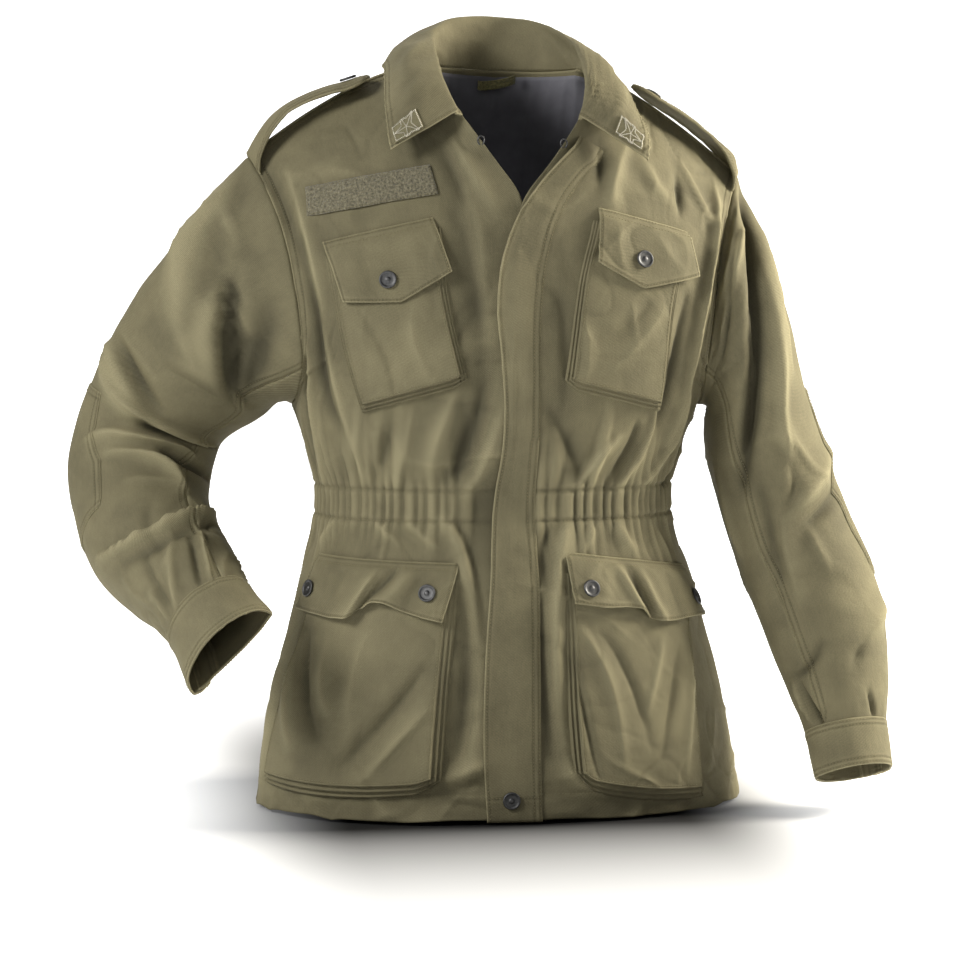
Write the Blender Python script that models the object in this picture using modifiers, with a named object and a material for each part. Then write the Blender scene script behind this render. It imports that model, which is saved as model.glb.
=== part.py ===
"""Field jacket: a drill cotton shell filled out as if worn, with open neck, cuffs and hem.

Sizes are in millimetres and become metres when a mesh is made. +Z is up, the front faces -Y and
+X is the wearer's left. The origin lies inside the shoulders, where a wearer would carry it.
"""

import math

import bpy
import numpy as np
from mathutils import Matrix, Vector

MM = 0.001

# Cloth and seams
CLOTH = 1.6            # shell wall: drill cotton with its seam allowances
TRIM_CLOTH = 1.4       # pockets, flaps, tape and patches
COLLAR_CLOTH = 2.4     # two layers and interlining
SEAM_TUCK = 0.22       # each panel stops this far short of the seam line
SHOULDER_TILT = 0.037  # the right shoulder stands a little higher than the left one

# Heights of the main levels
HEM = -700.0
ARMPIT = -305.0
TOP = 0.0              # level name of the shoulder seam

# Sideways sway of the whole jacket at each height
SWAY = [
    # z      x
    (-700.0, -1.0),
    (-650.0, -4.0),
    (-590.0, -5.0),
    (-500.0, -4.0),
    (-396.0, -6.0),
    (-300.0, -4.0),
    (100.0, -4.0),
]

# Body of the jacket below the arms: half width, front depth, back depth at each level
BODY = [
    # level  half_width  front  back   side_pull  front_pull  back_pull
    (-700.0, 243.0, 148.0, 160.0, 94.0, 156.0, 150.0),
    (-660.0, 236.0, 149.0, 160.0, 94.0, 153.0, 148.0),
    (-600.0, 224.0, 146.0, 157.0, 92.0, 143.0, 140.0),
    (-540.0, 208.0, 143.0, 153.0, 90.0, 132.0, 130.0),
    (-500.0, 199.0, 140.0, 148.0, 88.0, 125.0, 124.0),
    (-460.0, 190.0, 134.0, 138.0, 84.0, 118.0, 118.0),
    (-430.0, 180.0, 124.0, 122.0, 77.0, 112.0, 112.0),
    (-411.0, 176.0, 119.0, 113.0, 74.0, 109.0, 109.0),
    (-381.0, 176.0, 118.0, 110.0, 73.0, 109.0, 109.0),
    (-350.0, 187.0, 124.0, 115.0, 77.0, 115.0, 116.0),
    (-305.0, 204.0, 131.0, 124.0, 82.0, 126.0, 126.0),
]

# Armhole, from the armpit (share 0) to the shoulder tip (share 1), wearer's left side
ARMHOLE_FRONT = [
    # share  x      y      z
    (0.0, 204.0, 0.0, -305.0),
    (0.125, 201.0, -37.0, -294.0),
    (0.25, 199.0, -66.0, -268.0),
    (0.375, 202.0, -78.0, -232.0),
    (0.5, 207.0, -76.0, -194.0),
    (0.625, 213.0, -65.0, -157.0),
    (0.75, 222.0, -47.0, -122.0),
    (0.875, 234.0, -22.0, -91.0),
    (1.0, 246.0, 6.0, -67.0),
]
ARMHOLE_BACK = [
    # share  x      y     z
    (0.0, 204.0, 0.0, -305.0),
    (0.125, 203.0, 36.0, -292.0),
    (0.25, 203.0, 62.0, -264.0),
    (0.375, 206.0, 76.0, -229.0),
    (0.5, 211.0, 80.0, -191.0),
    (0.625, 217.0, 74.0, -155.0),
    (0.75, 226.0, 57.0, -121.0),
    (0.875, 237.0, 31.0, -92.0),
    (1.0, 246.0, 6.0, -67.0),
]

# Front edge above the chest: centre line, then the open V, then the neck seam to the shoulder
NECK_SHIFT = 9.0       # the neck lies this much towards the wearer's left
FRONT_EDGE = [
    # share  x     y       z
    (0.0, 0.0, -131.0, -305.0),
    (0.125, 0.0, -133.0, -252.0),
    (0.25, 0.0, -132.0, -200.0),
    (0.375, 0.0, -126.0, -148.0),
    (0.5, 0.0, -115.0, -103.0),
    (0.625, 28.0, -103.0, -62.0),
    (0.75, 57.0, -88.0, -22.0),
    (0.875, 76.0, -52.0, 8.0),
    (1.0, 78.0, -8.0, 30.0),
]
BACK_EDGE = [
    # share  y      z
    (0.0, 124.0, -305.0),
    (0.25, 130.0, -222.0),
    (0.5, 128.0, -138.0),
    (0.75, 110.0, -54.0),
    (1.0, 66.0, 27.0),
]
SHOULDER_SEAM = [
    # share  x      y     z       from the shoulder tip to the neck
    (0.0, 246.0, 6.0, -67.0),
    (0.35, 184.0, 3.0, -21.0),
    (0.7, 124.0, 0.0, 14.0),
    (1.0, 78.0, -8.0, 30.0),
]
SHOULDER_SHARE = 2.0 / 3.0    # share of the half back's top edge that is shoulder seam

# Centre line of the front opening: it drifts towards the wearer's right below the chest
OPENING_LINE = [
    # level  x
    (-700.0, -5.0),
    (-460.0, -4.0),
    (-305.0, 0.0),
    (-200.0, 1.0),
    (-152.5, 9.0),
    (0.0, 9.0),
]

# Gathers of the elasticated waist: height of a gather at each level
GATHER_DEPTH = [
    # level  depth
    (-480.0, 0.0),
    (-455.0, 1.2),
    (-430.0, 2.8),
    (-411.0, 2.0),
    (-396.0, 3.2),
    (-381.0, 2.0),
    (-364.0, 3.0),
    (-340.0, 1.0),
    (-318.0, 0.0),
]
FRONT_GATHERS = 15
FRONT_GATHERED_SHARE = 0.8     # of the front's width, from the side seam
BACK_GATHERS_HALF = 9

# Drape folds of the body: a soft ridge (+) or trough (-) along a line from one place to another
BODY_FOLDS = [
    # piece    side  u0    level0   u1    level1   width  depth
    ("front", -1, 0.24, -55.0, 0.08, -250.0, 14.0, 7.0),
    ("front", -1, 0.16, -60.0, 0.03, -200.0, 10.0, -6.0),
    ("front", -1, 0.70, -70.0, 0.86, -230.0, 15.0, 6.0),
    ("front", -1, 0.80, -230.0, 0.72, -350.0, 15.0, -5.0),
    ("front", -1, 0.10, -250.0, 0.30, -352.0, 14.0, 5.0),
    ("front", 1, 0.30, -40.0, 0.06, -230.0, 14.0, 7.0),
    ("front", 1, 0.20, -60.0, 0.04, -180.0, 10.0, -6.0),
    ("front", 1, 0.79, -170.0, 0.81, -330.0, 12.0, 4.0),
    ("front", 1, 0.34, -265.0, 0.22, -345.0, 13.0, 5.0),
    ("front", -1, 0.86, -440.0, 0.84, -690.0, 20.0, -5.0),
    ("front", 1, 0.84, -440.0, 0.80, -690.0, 20.0, -5.0),
    ("front", -1, 0.05, -470.0, 0.10, -690.0, 24.0, 6.0),
    ("front", 1, 0.05, -470.0, 0.10, -690.0, 24.0, 6.0),
    ("back", -1, 0.35, -150.0, 0.10, -290.0, 18.0, 6.0),
    ("back", 1, 0.35, -140.0, 0.10, -285.0, 18.0, 6.0),
    ("back", -1, 0.62, -230.0, 0.45, -350.0, 20.0, -6.0),
    ("back", 1, 0.66, -240.0, 0.50, -350.0, 20.0, -6.0),
    ("back", -1, 0.55, -440.0, 0.50, -695.0, 26.0, 7.0),
    ("back", 1, 0.50, -440.0, 0.55, -695.0, 26.0, 7.0),
    ("back", -1, 0.20, -450.0, 0.22, -690.0, 22.0, -6.0),
    ("back", 1, 0.18, -450.0, 0.24, -690.0, 22.0, -6.0),
]

# Sleeve rings after the armhole: centre, half width and half depth, slant of the width from level
SLEEVE_RINGS = {
    -1: [
        # x       y      z      wide   deep  slant
        (-275.0, 24.0, -230.0, 91.0, 80.0, -50.0),
        (-300.0, 44.0, -265.0, 86.0, 76.0, -35.0),
        (-336.0, 58.0, -312.0, 73.0, 68.0, -22.0),
        (-353.0, 52.0, -363.0, 72.0, 64.0, -2.0),
        (-354.0, 20.0, -408.0, 66.0, 61.0, 8.0),
        (-344.0, -27.0, -440.0, 65.0, 56.0, 21.0),
        (-322.0, -76.0, -466.0, 57.0, 49.0, 30.0),
        (-298.0, -128.0, -495.0, 47.0, 38.0, 41.0),
        (-279.0, -177.0, -527.0, 53.0, 36.0, 45.0),
    ],
    1: [
        (238.0, -12.0, -226.0, 88.0, 80.0, -110.0),
        (248.0, -18.0, -272.0, 66.0, 76.0, -130.0),
        (257.0, -22.0, -326.0, 61.0, 70.0, -143.0),
        (274.0, -25.0, -380.0, 59.0, 64.0, -157.0),
        (291.0, -33.0, -437.0, 61.0, 61.0, -162.0),
        (311.0, -49.0, -489.0, 63.0, 58.0, -169.0),
        (322.0, -68.0, -541.0, 58.0, 53.0, -174.0),
        (328.0, -86.0, -584.0, 50.0, 46.0, -177.0),
        (332.0, -101.0, -621.0, 41.0, 37.0, -174.0),
        (336.0, -120.0, -665.0, 38.0, 35.0, -173.0),
    ],
}
LOOP_CELLS = 16               # columns round a sleeve
UNDER_FROM = 11               # the under sleeve takes the columns from here
UNDER_TO = 18                 # to here, past the armpit
SLEEVE_ROWS = {
    -1: [
        0.0, 0.3, 0.6, 1.0, 1.5, 2.0, 2.5, 3.0, 3.35, 3.7, 4.05, 4.4, 4.75, 5.1, 5.5, 6.0, 6.5, 7.0,
        7.5, 8.0,
    ],
    1: [0.0, 0.3, 0.6, 1.0, 1.5, 2.0, 2.5, 3.0, 3.5, 4.0, 4.5, 5.0, 5.5, 6.0, 6.5, 7.0, 7.5, 8.0, 8.5, 9.0],
}

# Sleeve folds: around is 0 at the armpit, 0.25 at the front, 0.5 outside, 0.75 at the back
SLEEVE_FOLDS = [
    # side  around0  row0  around1  row1  width  depth
    (-1, 0.30, 0.5, 0.14, 3.2, 15.0, 8.0),
    (-1, 0.38, 0.5, 0.26, 2.8, 13.0, -6.0),
    (-1, 0.02, 3.6, 0.30, 4.6, 12.0, 9.0),
    (-1, 0.04, 4.2, 0.34, 5.2, 11.0, -9.0),
    (-1, 0.02, 4.9, 0.40, 5.8, 13.0, 9.0),
    (-1, 0.05, 5.9, 0.44, 6.8, 12.0, -6.0),
    (-1, 0.30, 3.0, 0.46, 4.3, 13.0, 5.0),
    (-1, 0.70, 2.0, 0.62, 5.0, 16.0, -5.0),
    (-1, 0.86, 3.0, 0.72, 5.4, 15.0, 6.0),
    (1, 0.40, 0.5, 0.24, 4.2, 15.0, 7.0),
    (1, 0.33, 0.5, 0.16, 3.6, 12.0, -6.0),
    (1, 0.08, 3.4, 0.30, 5.2, 14.0, 6.0),
    (1, 0.12, 5.2, 0.36, 6.6, 13.0, -5.0),
    (1, 0.20, 6.4, 0.42, 7.8, 13.0, 6.0),
    (1, 0.10, 7.6, 0.32, 8.6, 11.0, 5.0),
    (1, 0.70, 2.5, 0.62, 6.0, 16.0, -6.0),
    (1, 0.84, 3.5, 0.76, 7.0, 15.0, 6.0),
]

# Collar profile, from its front end (share 0) to the centre back (share 1), wearer's left side
COLLAR = [
    # share  stand                 roll                  fall                    leaf edge
    (0.0, (59.0, -92.5, -20.0), (62.0, -96.0, -19.0), (92.0, -103.0, -37.0), (126.0, -104.0, -57.0)),
    (0.14, (67.0, -79.0, -3.0), (70.0, -85.0, 3.0), (100.0, -96.0, -15.0), (128.0, -94.0, -41.0)),
    (0.3, (72.0, -55.0, 15.0), (74.0, -58.0, 25.0), (104.0, -72.0, 12.0), (128.0, -72.0, -15.0)),
    (0.46, (73.0, -24.0, 35.0), (74.0, -22.0, 48.0), (104.0, -29.0, 42.0), (124.0, -33.0, 19.0)),
    (0.62, (68.0, 12.0, 47.0), (69.0, 18.0, 63.0), (98.0, 24.0, 53.0), (118.0, 26.0, 26.0)),
    (0.8, (47.0, 51.0, 58.0), (45.0, 60.0, 78.0), (66.0, 84.0, 62.0), (82.0, 98.0, 30.0)),
    (1.0, (0.0, 70.0, 62.0), (0.0, 80.0, 83.0), (0.0, 106.0, 64.0), (0.0, 122.0, 26.0)),
]
COLLAR_PROFILE = [0.0, 0.5, 1.0, 1.5, 2.0, 2.35, 3.0, 3.5, 4.0]    # stations between seam and leaf edge
COLLAR_NARROW = (0.0, 4.0, 13.0, 16.0)     # the left half falls closer than the right one
COLLAR_LIFT = 0.8

# Fly placket: how far it reaches from the opening line to each side, at the panels' own levels
PLACKET = [
    # level  right_reach  left_reach
    (-700.0, 27.0, 27.0),
    (-640.0, 27.0, 29.0),
    (-580.0, 26.0, 30.0),
    (-520.0, 24.0, 29.0),
    (-446.0, 18.0, 28.0),
    (-390.0, 14.0, 26.0),
    (-332.0, 9.0, 26.0),
    (-266.9, 13.0, 26.0),
    (-228.8, 17.0, 28.0),
    (-190.6, 13.0, 32.0),
    (-152.5, -5.0, 40.0),
    (-114.4, -45.0, 66.0),
    (-90.0, -74.0, 92.0),
]
PLACKET_CELLS = 4

# Trims on the fronts by their corners: distance from the opening line along the cloth, and height
CHEST_POCKET = {
    # side  top inner       top outer         low inner         low outer
    -1: ((80.0, -128.0), (203.0, -156.0), (45.0, -277.0), (148.0, -306.0)),
    1: ((72.0, -121.0), (180.0, -143.0), (49.0, -282.0), (153.0, -307.0)),
}
CHEST_FLAP = {
    -1: ((89.0, -118.0), (206.0, -142.0), (64.0, -170.0), (172.0, -199.0)),
    1: ((77.0, -109.0), (184.0, -133.0), (79.0, -162.0), (193.0, -177.0)),
}
FLAP_POINT = {-1: 16.0, 1: 19.0}     # the flap's point hangs this much lower than its corners
FLAP_POINT_PLACE = 0.44              # and lies at this share of its width, from the inner side
LOWER_POCKET = {
    -1: ((50.0, -465.0), (222.0, -468.0), (68.0, -670.0), (270.0, -674.0)),
    1: ((50.0, -460.0), (214.0, -488.0), (60.0, -668.0), (200.0, -688.0)),
}
BAG_CUT = {("chest", -1): 5.0, ("chest", 1): 8.0, ("lower", -1): 12.0, ("lower", 1): 18.0}    # inner corner
BAG_SAG = {"chest": 0.0, "lower": 6.0}
LOWER_FLAP = {
    -1: ((48.0, -450.0), (205.0, -447.0), (66.0, -506.0), (233.0, -503.0)),
    1: ((54.0, -441.0), (214.0, -463.0), (59.0, -490.0), (238.0, -516.0)),
}
NAME_TAPE = ((92.0, -68.0), (226.0, -90.0), (84.0, -96.0), (223.0, -118.0))
LIFT = 0.7                    # space under a trim, which clears the facets of the cloth beneath
LOWER_FLAP_LIFT = 1.75        # the lower flaps start over the ends of the waist gathers
BAG_MOUTH = 3.0               # a bag's sheet stands this far off the front at its mouth
BAG_FOOT = {"chest": 9.0, "lower": 13.0}    # and this far at its foot
BAG_RIM = 0.065               # share of the bag taken by its gusset

# Shoulder straps: centre line from the armhole seam to the pointed end by the collar
EPAULETTE = {
    -1: [
        (-247.0, 4.0, -51.0),
        (-240.0, 3.0, -37.0),
        (-228.0, 1.0, -21.0),
        (-212.0, -2.0, -8.0),
        (-193.0, -5.0, 2.0),
        (-174.0, -8.0, 9.0),
        (-157.0, -11.0, 14.0),
        (-143.0, -14.0, 19.0),
        (-131.0, -16.0, 22.0),
    ],
    1: [
        (243.0, 5.0, -71.0),
        (238.0, 4.0, -58.0),
        (226.0, 2.0, -47.0),
        (210.0, 0.0, -36.0),
        (193.0, -3.0, -23.0),
        (176.0, -6.0, -12.0),
        (158.0, -9.0, -2.0),
        (143.0, -12.0, 7.0),
        (132.0, -14.0, 13.0),
    ],
}
EPAULETTE_HALF = 21.0
EPAULETTE_CLOTH = 2.4
EPAULETTE_SEAM = {-1: 0.2, 1: 0.0}    # its sewn end lies this far off the armhole seam

# Sleeve trims
CUFF_FROM = 0.58              # the cuff band starts here round the sleeve
CUFF_TO = 1.64                # and ends over its own start
CUFF_CELLS = 17
CUFF_CLOTH = 2.0
CUFF_PROUD = 1.2
CUFF_FLAT = {-1: (0.72, 0.12), 1: (1.0, 0.85)}    # depth of the back of the last two rings against the front
# Lattice of each elbow patch; the outermost columns and rows only set the slope at the patch's edge
PATCH_COLUMNS = {-1: range(5, 14), 1: range(6, 14)}
PATCH_ROWS = {-1: slice(6, 17), 1: slice(6, 16)}

# Snaps: cap radius and height
SNAP_RADIUS = 8.6
FLAP_SNAPS = {
    # row and column of each snap on its flap's lattice
    ("chest_snap", -1): (1.2, 4.0),
    ("chest_snap", 1): (1.52, 3.4),
    ("lower_snap_inner", -1): (2.0, 1.4),
    ("lower_snap_inner", 1): (1.4, 1.1),
    ("lower_snap_outer", -1): (1.6, 9.3),
    ("lower_snap_outer", 1): (1.5, 9.0),
}
SNAP_HEIGHT = 3.0


def smooth(knots, values, at):
    """Read the smooth curve through values, given at knots, at the places in at."""
    knots = np.asarray(knots, dtype=float)
    values = np.asarray(values, dtype=float)
    slopes = np.gradient(values, knots, axis=0)
    at = np.clip(np.asarray(at, dtype=float), knots[0], knots[-1])
    cell = np.clip(np.searchsorted(knots, at, side="right") - 1, 0, len(knots) - 2)
    width = knots[cell + 1] - knots[cell]
    t = (at - knots[cell]) / width
    if values.ndim > 1:
        extra = (1,) * (values.ndim - 1)
        t = t.reshape(t.shape + extra)
        width = width.reshape(width.shape + extra)
    return (
        (1 + 2 * t) * (1 - t) ** 2 * values[cell]
        + t * (1 - t) ** 2 * width * slopes[cell]
        + t**2 * (3 - 2 * t) * values[cell + 1]
        + t**2 * (t - 1) * width * slopes[cell + 1]
    )


def table_curve(table, at, first=1):
    """Smooth curve through a table whose first column is the share or level."""
    rows = np.array([row[:1] + row[first:] for row in table], dtype=float)
    return smooth(rows[:, 0], rows[:, 1:], at)


def bezier(start, pull_start, pull_end, end, u):
    """Cubic from start to end; the two pulls are its inner control points."""
    u = u[:, None]
    near = (1 - u) ** 3 * start + 3 * u * (1 - u) ** 2 * pull_start
    return near + 3 * u**2 * (1 - u) * pull_end + u**3 * end


# ---------------------------------------------------------------- body surface

NET_U = np.linspace(0.0, 1.0, 37)
NET_LOW = np.linspace(HEM, ARMPIT, 41)
NET_HIGH = np.linspace(0.0, 1.0, 33)


def lower_row(level, back):
    """Quarter ring of the body below the arms, from the side seam to the centre."""
    half_width, front, rear, side_pull, front_pull, back_pull = table_curve(BODY, level)
    depth = rear if back else -front
    end_pull = back_pull if back else front_pull
    side_pull = side_pull * (1.12 if back else 1.0)
    side = np.array([half_width, 0.0, level])
    centre = np.array([0.0, depth, level])
    return bezier(
        side,
        side + [0.0, math.copysign(side_pull, depth), 0.0],
        centre + [end_pull, 0.0, 0.0],
        centre,
        NET_U,
    )


def top_row(back):
    """Shoulder seam; on the back the half neck seam follows it."""
    if not back:
        return table_curve(SHOULDER_SEAM, NET_U)
    seam = table_curve(SHOULDER_SEAM, np.clip(NET_U / SHOULDER_SHARE, 0.0, 1.0))
    turn = np.clip((NET_U - SHOULDER_SHARE) / (1.0 - SHOULDER_SHARE), 0.0, 1.0) * math.pi / 2
    neck = np.stack([78.0 * np.cos(turn), -8.0 + 74.0 * np.sin(turn), 30.0 - 3.0 * np.sin(turn)], axis=1)
    return np.where((NET_U < SHOULDER_SHARE)[:, None], seam, neck)


def upper_patch(back):
    """Rows between the chest ring and the shoulder, carried by the armhole and the centre edge."""
    f = NET_HIGH[:, None, None]
    u = NET_U[None, :, None]
    low = lower_row(ARMPIT, back)[None]
    high = top_row(back)[None]
    side = table_curve(ARMHOLE_BACK if back else ARMHOLE_FRONT, NET_HIGH)[:, None]
    if back:
        centre = table_curve(BACK_EDGE, NET_HIGH)
        centre = np.concatenate([np.zeros((len(centre), 1)), centre], axis=1)[:, None]
    else:
        centre = table_curve(FRONT_EDGE, NET_HIGH)[:, None]
    corners = (1 - f) * ((1 - u) * low[:, :1] + u * low[:, -1:])
    corners = corners + f * ((1 - u) * high[:, :1] + u * high[:, -1:])
    return (1 - f) * low + f * high + (1 - u) * side + u * centre - corners


def body_net(back):
    """Half of the body, as rows of points from hem to shoulder and from side seam to centre."""
    low = np.stack([lower_row(level, back) for level in NET_LOW])
    net = np.concatenate([low[:-1], upper_patch(back)])
    levels = np.concatenate([NET_LOW[:-1], ARMPIT * (1.0 - NET_HIGH)])
    weight = np.clip((levels - (ARMPIT - 60.0)) / 60.0, 0.0, 1.0)[1:-1, None, None]
    for _ in range(60):
        around = (net[:-2, 1:-1] + net[2:, 1:-1] + net[1:-1, :-2] + net[1:-1, 2:]) / 4
        net[1:-1, 1:-1] += 0.5 * weight * (around - net[1:-1, 1:-1])
    return levels, net


FRONT_NET = body_net(False)
BACK_NET = body_net(True)


def tilt(points):
    """Raise the right shoulder and lower the left one, fading out at the waist."""
    points = np.array(points, dtype=float)
    share = np.clip((points[..., 2] + 420.0) / 340.0, 0.0, 1.0)
    share = share * share * (3 - 2 * share)
    sway = smooth([row[0] for row in SWAY], [row[1] for row in SWAY], points[..., 2])
    points[..., 2] -= SHOULDER_TILT * points[..., 0] * share
    points[..., 0] += sway
    return points


def cell_weights(knots, at):
    """Cell of each place among the knots, with its four cubic weights."""
    at = np.clip(at, knots[0], knots[-1])
    cell = np.clip(np.searchsorted(knots, at, side="right") - 1, 0, len(knots) - 2)
    width = knots[cell + 1] - knots[cell]
    t = (at - knots[cell]) / width
    values = np.stack([(1 + 2 * t) * (1 - t) ** 2, t**2 * (3 - 2 * t)])
    slopes = np.stack([t * (1 - t) ** 2, t**2 * (t - 1)]) * width
    return cell, values, slopes


def net_points(net, u, level):
    """Plain surface points of a half body at shares u and levels, both arrays of one shape."""
    levels, rows = net
    along_u = np.gradient(rows, NET_U, axis=1)
    along_level = np.gradient(rows, levels, axis=0)
    both = np.gradient(along_u, levels, axis=0)
    i, level_values, level_slopes = cell_weights(levels, np.ravel(level))
    j, u_values, u_slopes = cell_weights(NET_U, np.ravel(u))
    out = np.zeros((len(i), 3))
    for a in (0, 1):
        for b in (0, 1):
            out += (level_values[a] * u_values[b])[:, None] * rows[i + a, j + b]
            out += (level_values[a] * u_slopes[b])[:, None] * along_u[i + a, j + b]
            out += (level_slopes[a] * u_values[b])[:, None] * along_level[i + a, j + b]
            out += (level_slopes[a] * u_slopes[b])[:, None] * both[i + a, j + b]
    return out.reshape(np.shape(u) + (3,))


def fold_height(folds, across, along, scale):
    """Sum of the soft ridges and troughs at each place; scale turns the two shares into mm."""
    height = np.zeros(np.shape(across))
    for x0, y0, x1, y1, width, depth in folds:
        ax = (across - x0) * scale[0]
        ay = (along - y0) * scale[1]
        bx = (x1 - x0) * scale[0]
        by = (y1 - y0) * scale[1]
        length = math.hypot(bx, by)
        t = np.clip((ax * bx + ay * by) / length**2, 0.0, 1.0)
        away = np.hypot(ax - t * bx, ay - t * by)
        taper = np.sin(np.pi * (0.12 + 0.76 * t))
        height += depth * taper * np.exp(-((away / width) ** 2))
    return height


def gather_wave(piece, u):
    """Wave of the waist gathers, 0 in the troughs and 1 on the ridges."""
    if piece == "front":
        inside = np.clip(u / FRONT_GATHERED_SHARE, 0.0, 1.0)
        count = FRONT_GATHERS
    else:
        inside = u
        count = BACK_GATHERS_HALF
    wave = 0.5 - 0.5 * np.cos(2 * np.pi * count * inside)
    return wave * (1.0 + 0.35 * np.sin(9.0 * inside + 1.0))


def body_points(piece, side, u, level, plain=False):
    """Outer surface of the front or half back; side is 1 for the wearer's left and -1 for the right."""
    u = np.asarray(u, dtype=float)
    level = np.asarray(level, dtype=float)
    net = BACK_NET if piece == "back" else FRONT_NET
    at = net_points(net, u, level)
    step = 0.004
    du = net_points(net, np.clip(u + step, 0, 1), level) - net_points(net, np.clip(u - step, 0, 1), level)
    dl = net_points(net, u, np.clip(level + 2.0, HEM, TOP))
    dl = dl - net_points(net, u, np.clip(level - 2.0, HEM, TOP))
    normal = np.cross(du, dl)
    if piece == "front":
        normal = -normal
    normal /= np.linalg.norm(normal, axis=-1, keepdims=True)
    folds = [row[2:] for row in BODY_FOLDS if row[0] == piece and row[1] == side]
    height = fold_height(folds, u, level, (230.0, 1.0))
    edge = np.clip(np.minimum(u, 1.0 - u) / 0.08, 0.0, 1.0) * np.clip((TOP - level) / 40.0, 0.0, 1.0)
    height = height * edge
    depth = table_curve(GATHER_DEPTH, level)[..., 0]
    height = height + depth * gather_wave(piece, u) * ((level > -480.0) & (level < -318.0))
    if not plain:
        at = at + normal * height[..., None]
    if piece == "front":
        drift = smooth([row[0] for row in OPENING_LINE], [row[1] for row in OPENING_LINE], level)
    else:
        drift = np.where(level > ARMPIT, NECK_SHIFT * (1.0 - level / ARMPIT), 0.0)
    at[..., 0] *= side
    at[..., 0] += drift * u * u
    return tilt(at)


# ---------------------------------------------------------------- walls

def strips(rows, closed):
    """Faces between neighbouring rows; a row may have twice as many cells as the next one."""
    faces = []
    start = 0
    for row, following in zip(rows[:-1], rows[1:]):
        after = start + len(row)
        cells = len(row) if closed else len(row) - 1
        cells_after = len(following) if closed else len(following) - 1
        fewest = min(cells, cells_after)
        for j in range(fewest):
            a = [start + (j * cells // fewest + k) % len(row) for k in range(cells // fewest + 1)]
            steps = range(cells_after // fewest + 1)
            b = [after + (j * cells_after // fewest + k) % len(following) for k in steps]
            if len(a) == len(b):
                faces += [(a[0], a[1], b[1]), (a[0], b[1], b[0])]
            elif len(b) > len(a):
                faces += [(a[0], b[1], b[0]), (a[0], a[1], b[1]), (a[1], b[2], b[1])]
            else:
                faces += [(a[0], a[1], b[0]), (a[1], b[1], b[0]), (a[1], a[2], b[1])]
        start = after
    return faces


def point_normals(rows, closed):
    """Unit normals of a lattice, row by row."""
    points = np.concatenate(rows)
    normals = np.zeros_like(points)
    for face in strips(rows, closed):
        corners = points[list(face)]
        cross = np.cross(corners[2] - corners[0], corners[-1] - corners[1])
        for index in face:
            normals[index] += cross
    normals /= np.linalg.norm(normals, axis=1, keepdims=True)
    ends = np.cumsum([len(row) for row in rows])[:-1]
    return np.split(normals, ends)


def border(rows, closed):
    """Places (row, column) of the points on a lattice's edges."""
    places = [(0, j) for j in range(len(rows[0]))] + [(len(rows) - 1, j) for j in range(len(rows[-1]))]
    if not closed:
        places += [(i, 0) for i in range(1, len(rows) - 1)]
        places += [(i, len(rows[i]) - 1) for i in range(1, len(rows) - 1)]
    return places


class Panel:
    """A sheet of cloth: rows of outer points with the normals that its wall is built along."""

    def __init__(self, name, rows, outward, closed=False, cloth=CLOTH):
        self.name = name
        self.rows = [np.array(row, dtype=float) for row in rows]
        self.closed = closed
        self.cloth = cloth
        self.normals = [outward * row for row in point_normals(self.rows, closed)]

    def tuck(self, gap, top=None):
        """Draw the edges in, to leave the seam gap; the top edge may take a wider one."""
        rows = [row.copy() for row in self.rows]
        if not self.closed:
            for row in rows:
                for end, inner in ((0, 1), (-1, -2)):
                    step = row[inner] - row[end]
                    row[end] += step * (gap / np.linalg.norm(step))
        for end, inner, gap in ((0, 1, gap), (-1, -2, gap if top is None else top)):
            ratio = (len(self.rows[inner]) - 1) / (len(self.rows[end]) - 1)
            for j in range(len(rows[end])):
                step = self.rows[inner][int(round(j * ratio))] - self.rows[end][j]
                rows[end][j] += step * (gap / np.linalg.norm(step))
        self.rows = rows

    def inner(self):
        return [row - normal * self.cloth for row, normal in zip(self.rows, self.normals)]


def share_seam_normals(panels, reach=14.0):
    """Where two panels meet, both walls are built along the mean of their normals."""
    edges = []
    for number, panel in enumerate(panels):
        for i, j in border(panel.rows, panel.closed):
            edges.append((number, i, j, panel.rows[i][j], panel.normals[i][j]))
    owners = np.array([edge[0] for edge in edges])
    places = np.array([edge[3] for edge in edges])
    normals = np.array([edge[4] for edge in edges])
    for number, i, j, place, normal in edges:
        total = normal.copy()
        for other in range(len(panels)):
            if other == number:
                continue
            mask = owners == other
            away = np.linalg.norm(places[mask] - place, axis=1)
            if away.min() < reach:
                near = normals[mask][away < away.min() + 0.5]
                total += near.mean(axis=0) / np.linalg.norm(near.mean(axis=0))
        panels[number].normals[i][j] = total / np.linalg.norm(total)


# ---------------------------------------------------------------- objects and materials

collection = None


def start_scene():
    global collection
    for old in list(bpy.data.objects):
        bpy.data.objects.remove(old, do_unlink=True)
    collection = bpy.data.collections.new("field_jacket")
    bpy.context.scene.collection.children.link(collection)


def material(name, colour, roughness, metallic=0.0):
    made = bpy.data.materials.new(name)
    made.use_nodes = True
    shader = made.node_tree.nodes["Principled BSDF"]
    shader.inputs["Base Color"].default_value = (*colour, 1.0)
    shader.inputs["Roughness"].default_value = roughness
    shader.inputs["Metallic"].default_value = metallic
    return made


def add_mesh(name, points, faces, finish):
    """Add one closed body, in metres, with its faces turned outwards."""
    points = np.asarray(points, dtype=float)
    volume = 0.0
    for face in faces:
        for k in range(1, len(face) - 1):
            volume += np.dot(points[face[0]], np.cross(points[face[k]], points[face[k + 1]]))
    if volume < 0:
        faces = [tuple(reversed(face)) for face in faces]
    mesh = bpy.data.meshes.new(name)
    mesh.from_pydata([tuple(point * MM) for point in points], [], faces)
    mesh.materials.append(finish)
    mesh.shade_smooth()
    made = bpy.data.objects.new(name, mesh)
    collection.objects.link(made)
    return made


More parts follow.
